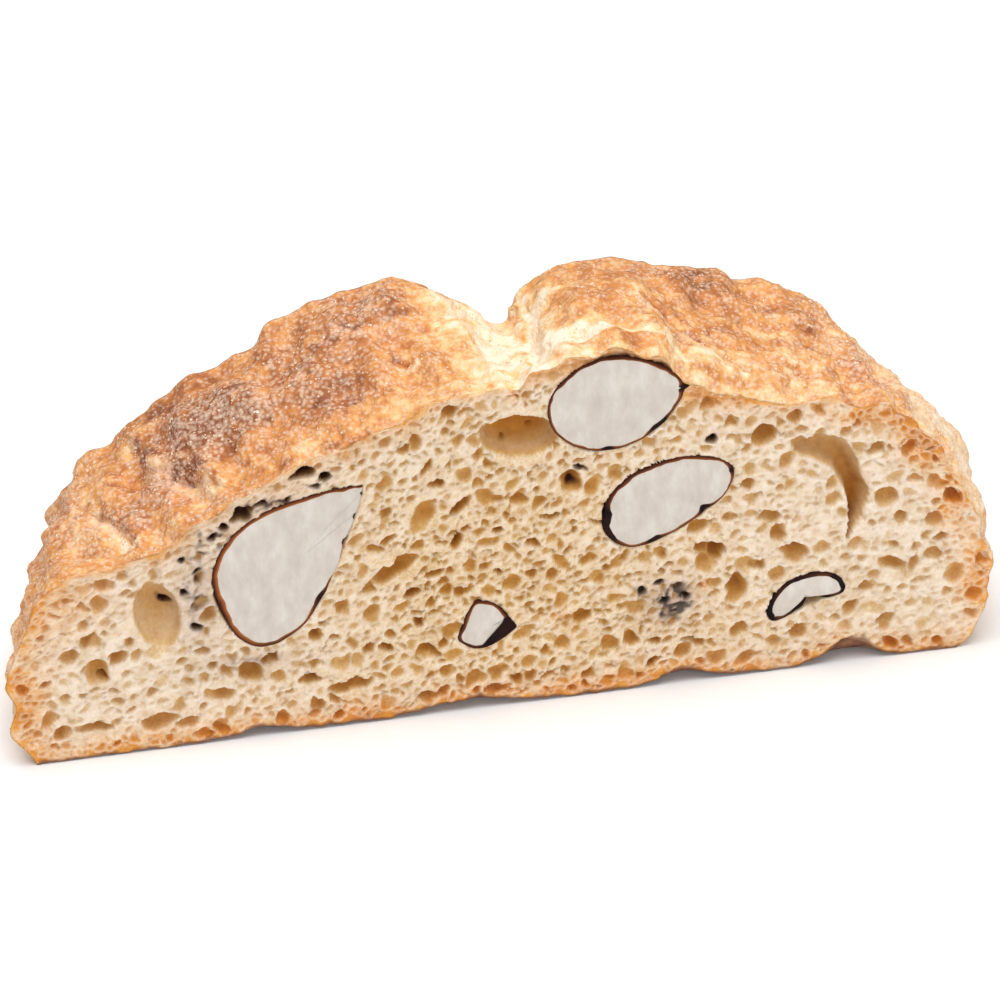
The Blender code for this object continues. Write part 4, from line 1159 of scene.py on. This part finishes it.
# The tray side: the bottom crust, baked flat against the tray and a little darker. It is a slab
# 0.6 mm thick whose edges follow the cut faces.
TRAY_ROWS = 40  # of its grid, from cut to cut
UPPER_INSET = 1.6  # of its upper side, from the cuts
UPPER_LENGTH = 0.985  # of its upper side, as a share of the lower one's


def tray_slab():
    """The flat bottom: tray_side(share, y) on a grid, closed by a smaller upper side."""
    shares, depths = np.linspace(0, 1, LONG_STEPS + 1), np.linspace(-HALF, HALF, TRAY_ROWS + 1)
    grid_share, grid_y = np.meshgrid(shares, depths)
    x, z = tray_side(grid_share, grid_y)
    outer = np.stack([x, grid_y, z], axis=-1)
    back_edge = outer[-1] * (UPPER_LENGTH, 0, 1) + (0, HALF - UPPER_INSET, TRAY_THICK)
    front_edge = outer[0] * (UPPER_LENGTH, 0, 1) + (0, -HALF + UPPER_INSET, TRAY_THICK)
    return closed_band(np.concatenate([outer, np.stack([back_edge, front_edge])]))


tray = closed_mesh("tray_side", *tray_slab())
material, tree, shader, coordinates = new_material("tray_baked_crust")
shade = noise(tree, coordinates, 1.5, 4.0, 0.6)
tone = ramp(tree, shade, (0.3, "#4A2A1C"), (0.55, "#7C4B2C"), (0.75, "#AC7848"))
tree.links.new(tone, shader.inputs["Base Color"])
shader.inputs["Roughness"].default_value = 0.7
bump(tree, shader, noise(tree, coordinates, 0.6), 0.5, 0.2)
tray.data.materials.append(material)
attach(tray, "root")
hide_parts("biscuit")

# The almonds: whole sweet almonds baked in with their skins on, then cut by the knife. The flesh is
# off-white and smooth, and the skin shows as a thin brown line round it, thick and black in places.
KERNEL_SIDES = 160
FLESH_RINGS = 34  # from the middle of the cut to the skin
# Rings of the skin's edge: share of the way out over it, rise, and how much skin shows
LIP_RINGS = ((0.12, 0.04, 0.35), (0.5, 0.08, 0.6), (0.85, 0.04, 1.0), (1.0, -0.05, 1.0))
DOME_RINGS = 12  # steps from the cut to the hidden tip
# Places round the outline in degrees from the foot, half width, extra thickness, and how black
SKINS = {
    "almond_left": (
        (0, 720, 0.0, 0.1),
        (45, 60, 0.30, 0.0),
        (235, 45, -0.60, 0.0),
        (201, 4, 0.35, 1.0),
        (226, 4, 0.55, 1.0),
        (246, 4, 0.50, 0.8),
        (284, 9, 0.55, 0.9),
        (330, 30, 0.15, 0.5),
    ),
    "almond_crown": (
        (0, 720, 0.0, 0.4),
        (180, 9, 0.60, 1.0),
        (233, 10, 0.35, 1.0),
        (283, 6, 0.25, 0.8),
        (90, 60, -0.10, 0.0),
    ),
    "almond_middle": (
        (0, 720, 0.0, 0.4),
        (8, 26, 0.60, 1.0),
        (247, 6, 0.55, 1.0),
        (297, 9, 0.30, 0.8),
        (180, 12, 0.20, 0.8),
    ),
    "almond_small": ((0, 720, 0.0, 0.4), (180, 30, 0.20, 1.0), (270, 60, 0.15, 0.5)),
    "almond_bean": (
        (0, 720, 0.14, 0.7),
        (90, 40, 0.06, 0.3),
        (264, 22, 0.40, 1.0),
        (0, 30, 0.20, 0.7),
        (180, 30, 0.20, 0.7),
    ),
    "almond_back_left": ((0, 720, 0.0, 0.3), (30, 40, 0.15, 0.0), (200, 12, 0.40, 0.8)),
    "almond_back_middle": ((0, 720, 0.0, 0.2), (180, 12, 0.40, 0.9), (80, 40, -0.20, 0.0)),
    "almond_back_right": ((0, 720, 0.0, 0.4), (0, 24, 0.30, 0.8), (200, 30, 0.10, 0.2)),
}
SKIN_THICK = 0.34
# Where the outline is pressed in, in degrees from the foot, half width, and depth
NOTCHES = {
    "almond_bean": ((262, 11, 1.15), (268, 28, 0.3)),
    "almond_left": ((38, 20, 0.35), (250, 12, 0.2)),
    "almond_crown": ((180, 5, -0.6), (215, 14, 0.2)),
    "almond_middle": ((20, 12, 0.25), (247, 5, 0.25)),
    "almond_small": ((320, 14, -0.5), (35, 14, -0.3)),
}
CUTS = {"almond_small": (-2.3, 9.9, -36.0)}  # its flesh ends at a line through x and z that faces an angle, and beyond it the skin is painted black: painted shade of a hollow


def kernel_mesh(name, face, form, depth, spots, seed):
    """A cut almond: flesh rings shrunk towards the middle of the outline, a raised ring of skin, and a
    dome behind whose rings shrink as cos while they go in as sin."""
    outline = kernel_outline(*form, KERNEL_SIDES)
    turn = np.linspace(0, 2 * math.pi, KERNEL_SIDES, endpoint=False)
    centre = outline.mean(axis=0)
    places = np.stack([outline[:, 0], outline[:, 0] * 0 + seed * 7.0, outline[:, 1]], axis=1)
    outward = left_of(outline, 3)
    outward *= np.sign((outward * (outline - centre)).sum(axis=1).mean())
    swell = 0.12 + 0.16 * lattice_noise(places, 2.4, seed) + 0.06 * lattice_noise(places, 0.9, seed + 1)
    outline = outline + outward * swell[:, None]
    degrees = np.degrees(turn)
    for place, half_width, inwards in NOTCHES.get(name, ()):
        outline = outline - outward * (inwards * np.exp(-(((degrees - place) / half_width) ** 2)))[:, None]
    thick = SKIN_THICK + 0.14 * lattice_noise(places, 1.5, seed + 2)
    thick = thick + 0.08 * lattice_noise(places, 0.6, seed + 5)
    black = 0.15 * lattice_noise(places, 1.0, seed + 6)
    for spot, half_width, extra, blacker in spots:
        near = np.exp(-((((degrees - spot + 180) % 360 - 180) / half_width) ** 2))
        thick, black = thick + extra * near, black + blacker * near
    bare = (thick / 0.2).clip(0.15, 1)
    thick = thick.clip(0.05)
    inner = outline - outward * thick[:, None]
    if name in CUTS:
        place_x, place_z, facing = CUTS[name]
        facing = np.array((math.cos(math.radians(facing)), math.sin(math.radians(facing))))
        beyond = ((inner - (place_x, place_z)) @ facing).clip(0)
        # Beyond the line the skin is painted black: painted shade of a hollow.
        inner, black = inner - beyond[:, None] * facing, black + 3 * beyond
    rings, skin_share, proud = [], [], []
    for k in range(1, FLESH_RINGS + 1):
        share = k / FLESH_RINGS
        rings.append(centre + (inner - centre) * share)
        skin_share.append(0.0)
        proud.append(0.16 * (1 - share**6) + 0.02)
    for share, rise, skinned in LIP_RINGS:
        rings.append(inner + (outline - inner) * share)
        skin_share.append(skinned)
        proud.append(rise)
    for k in range(1, DOME_RINGS):
        share = k / DOME_RINGS * math.pi / 2
        rings.append(centre + (outline - centre) * math.cos(share))
        skin_share.append(1.0)
        proud.append(-depth * math.sin(share))
    flat = np.array(rings)
    height = np.repeat(np.array(proud)[:, None], KERNEL_SIDES, axis=1)
    face_places = np.stack([flat[..., 0], 0 * flat[..., 0] + seed * 5.0, flat[..., 1]], axis=-1)
    waves = 0.05 * lattice_noise(face_places, 1.6, seed + 3)
    waves = waves + 0.09 * lattice_noise(face_places, 3.5, seed + 4)
    height = height + waves * (np.array(proud) > 0.01)[:, None]
    body = np.stack([flat[..., 0], face * (HALF + height), flat[..., 1]], axis=-1).reshape(-1, 3)
    middle = [(centre[0], face * (HALF + height[0].mean()), centre[1])]
    far = [(centre[0], face * (HALF - depth), centre[1])]
    places = np.vstack([body, middle, far])
    rows = len(rings)
    side = np.arange(KERNEL_SIDES)
    after, tip = np.roll(side, -1), np.full(KERNEL_SIDES, rows * KERNEL_SIDES)
    last = (rows - 1) * KERNEL_SIDES
    near_cap = np.stack([side, after, tip], axis=1)
    far_cap = np.stack([last + after, last + side, tip + 1], axis=1)
    caps = np.stack([near_cap, far_cap], axis=1).reshape(-1, 3)
    faces = grid_faces(rows, KERNEL_SIDES, joined=1, flip=face < 0)
    faces += (caps[:, ::-1] if face > 0 else caps).tolist()
    skinned = np.append(np.outer(skin_share, bare).ravel(), (0.0, 1.0))
    dark = np.append(np.tile(black, rows), (0.0, 0.4))
    return closed_mesh(name + "_kernel", places, faces, skinned=skinned, dark=dark)


material, tree, shader, coordinates = new_material("almond_kernel")
ridged = add(tree, "ShaderNodeMapping", {"Vector": coordinates}, {"Scale": (1.0, 1.0, 0.5)}).outputs["Vector"]
grey = noise(tree, ridged, 1.6, 4.0, 0.6)
flesh = ramp(tree, grey, (0.3, "#C8BDB2"), (0.5, "#D3C9BE"), (0.7, "#DFD8D0"))
THIN_TONES = ((0.0, "#D3C9BE"), (0.3, "#B4733F"), (0.6, "#8C4A24"), (1.0, "#50291B"))
thin_skin = ramp(tree, attribute(tree, "skinned"), *THIN_TONES)
blackened = scaled(tree, attribute(tree, "dark"), 0.1, 1.0)
brown = mixed(tree, blackened, thin_skin, ramp(tree, grey, (0.35, "#150B0C"), (0.65, "#2C1512")))
skin_share = scaled(tree, attribute(tree, "skinned"), 0.05, 0.35)
tree.links.new(mixed(tree, skin_share, flesh, brown), shader.inputs["Base Color"])
for socket, on_flesh, on_skin in (("Roughness", 0.42, 0.8), ("Specular IOR Level", 0.5, 0.12)):
    shine = scaled(tree, attribute(tree, "skinned"), 0.0, 0.4, on_flesh, on_skin)
    tree.links.new(shine, shader.inputs[socket])
bump(tree, shader, grey, 0.6, 0.2)
for number, (name, (face, *form, depth)) in enumerate(KERNELS.items()):
    kernel = kernel_mesh(name, face, form, depth, SKINS[name], 40 + 10 * number)
    kernel.data.materials.append(material)
    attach(kernel, "root")
    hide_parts(name)

# The stage: a plain pale floor under soft light from above and in front.
FLOOR_SIZE = 6.0
floor_mesh = bpy.data.meshes.new("floor")
reach = FLOOR_SIZE / 2
floor_corners = [(-reach, -reach, 0), (reach, -reach, 0), (reach, reach, 0), (-reach, reach, 0)]
floor_mesh.from_pydata(floor_corners, [], [(0, 1, 2, 3)])
floor = bpy.data.objects.new("floor", floor_mesh)
bpy.context.scene.collection.objects.link(floor)
material, _, shader, _ = new_material("white_paper")
shader.inputs["Base Color"].default_value = (0.93, 0.93, 0.93, 1.0)
shader.inputs["Roughness"].default_value = 0.9
floor_mesh.materials.append(material)


def soft_light(name, place, aim, size, watts):
    """A square area light at a place, turned to its aim."""
    light = bpy.data.lights.new(name, "AREA")
    light.size = size
    light.energy = watts
    lamp = bpy.data.objects.new(name, light)
    lamp.location = place
    lamp.rotation_euler = (Vector(aim) - Vector(place)).to_track_quat("-Z", "Y").to_euler()
    bpy.context.scene.collection.objects.link(lamp)


soft_light("overhead", (-0.05, -0.06, 0.7), (0, 0, 0.02), 0.6, 5.2)
soft_light("front", (0.25, -0.75, 0.35), (0, 0, 0.02), 0.4, 1.5)
world = bpy.data.worlds.new("studio")
world.use_nodes = True
world.node_tree.nodes["Background"].inputs["Color"].default_value = (1.0, 1.0, 1.0, 1.0)
world.node_tree.nodes["Background"].inputs["Strength"].default_value = 0.34
bpy.context.scene.world = world
bpy.context.scene.view_settings.view_transform = "Standard"

# The camera: 35 degrees above the table and 12 degrees round to the left, as in the photograph.
AZIMUTH, ELEVATION, DISTANCE = math.radians(-12), math.radians(35), 0.6
FOCUS_PIXELS, IMAGE_PIXELS = 5787.0, 1000
TARGET = Vector((-1.469, -11.0, 26.752)) * 0.001
level = math.cos(ELEVATION)
back = Vector((math.sin(AZIMUTH) * level, -math.cos(AZIMUTH) * level, math.sin(ELEVATION)))
right = Vector((math.cos(AZIMUTH), math.sin(AZIMUTH), 0))
camera_data = bpy.data.cameras.new("camera")
camera_data.sensor_width = 36.0
camera_data.lens = FOCUS_PIXELS / IMAGE_PIXELS * camera_data.sensor_width
camera_data.clip_start = 0.01
camera = bpy.data.objects.new("camera", camera_data)
turn = Matrix((right, back.cross(right), back)).transposed().to_4x4()
camera.matrix_world = Matrix.Translation(TARGET + back * DISTANCE) @ turn
bpy.context.scene.collection.objects.link(camera)
bpy.context.scene.camera = camera
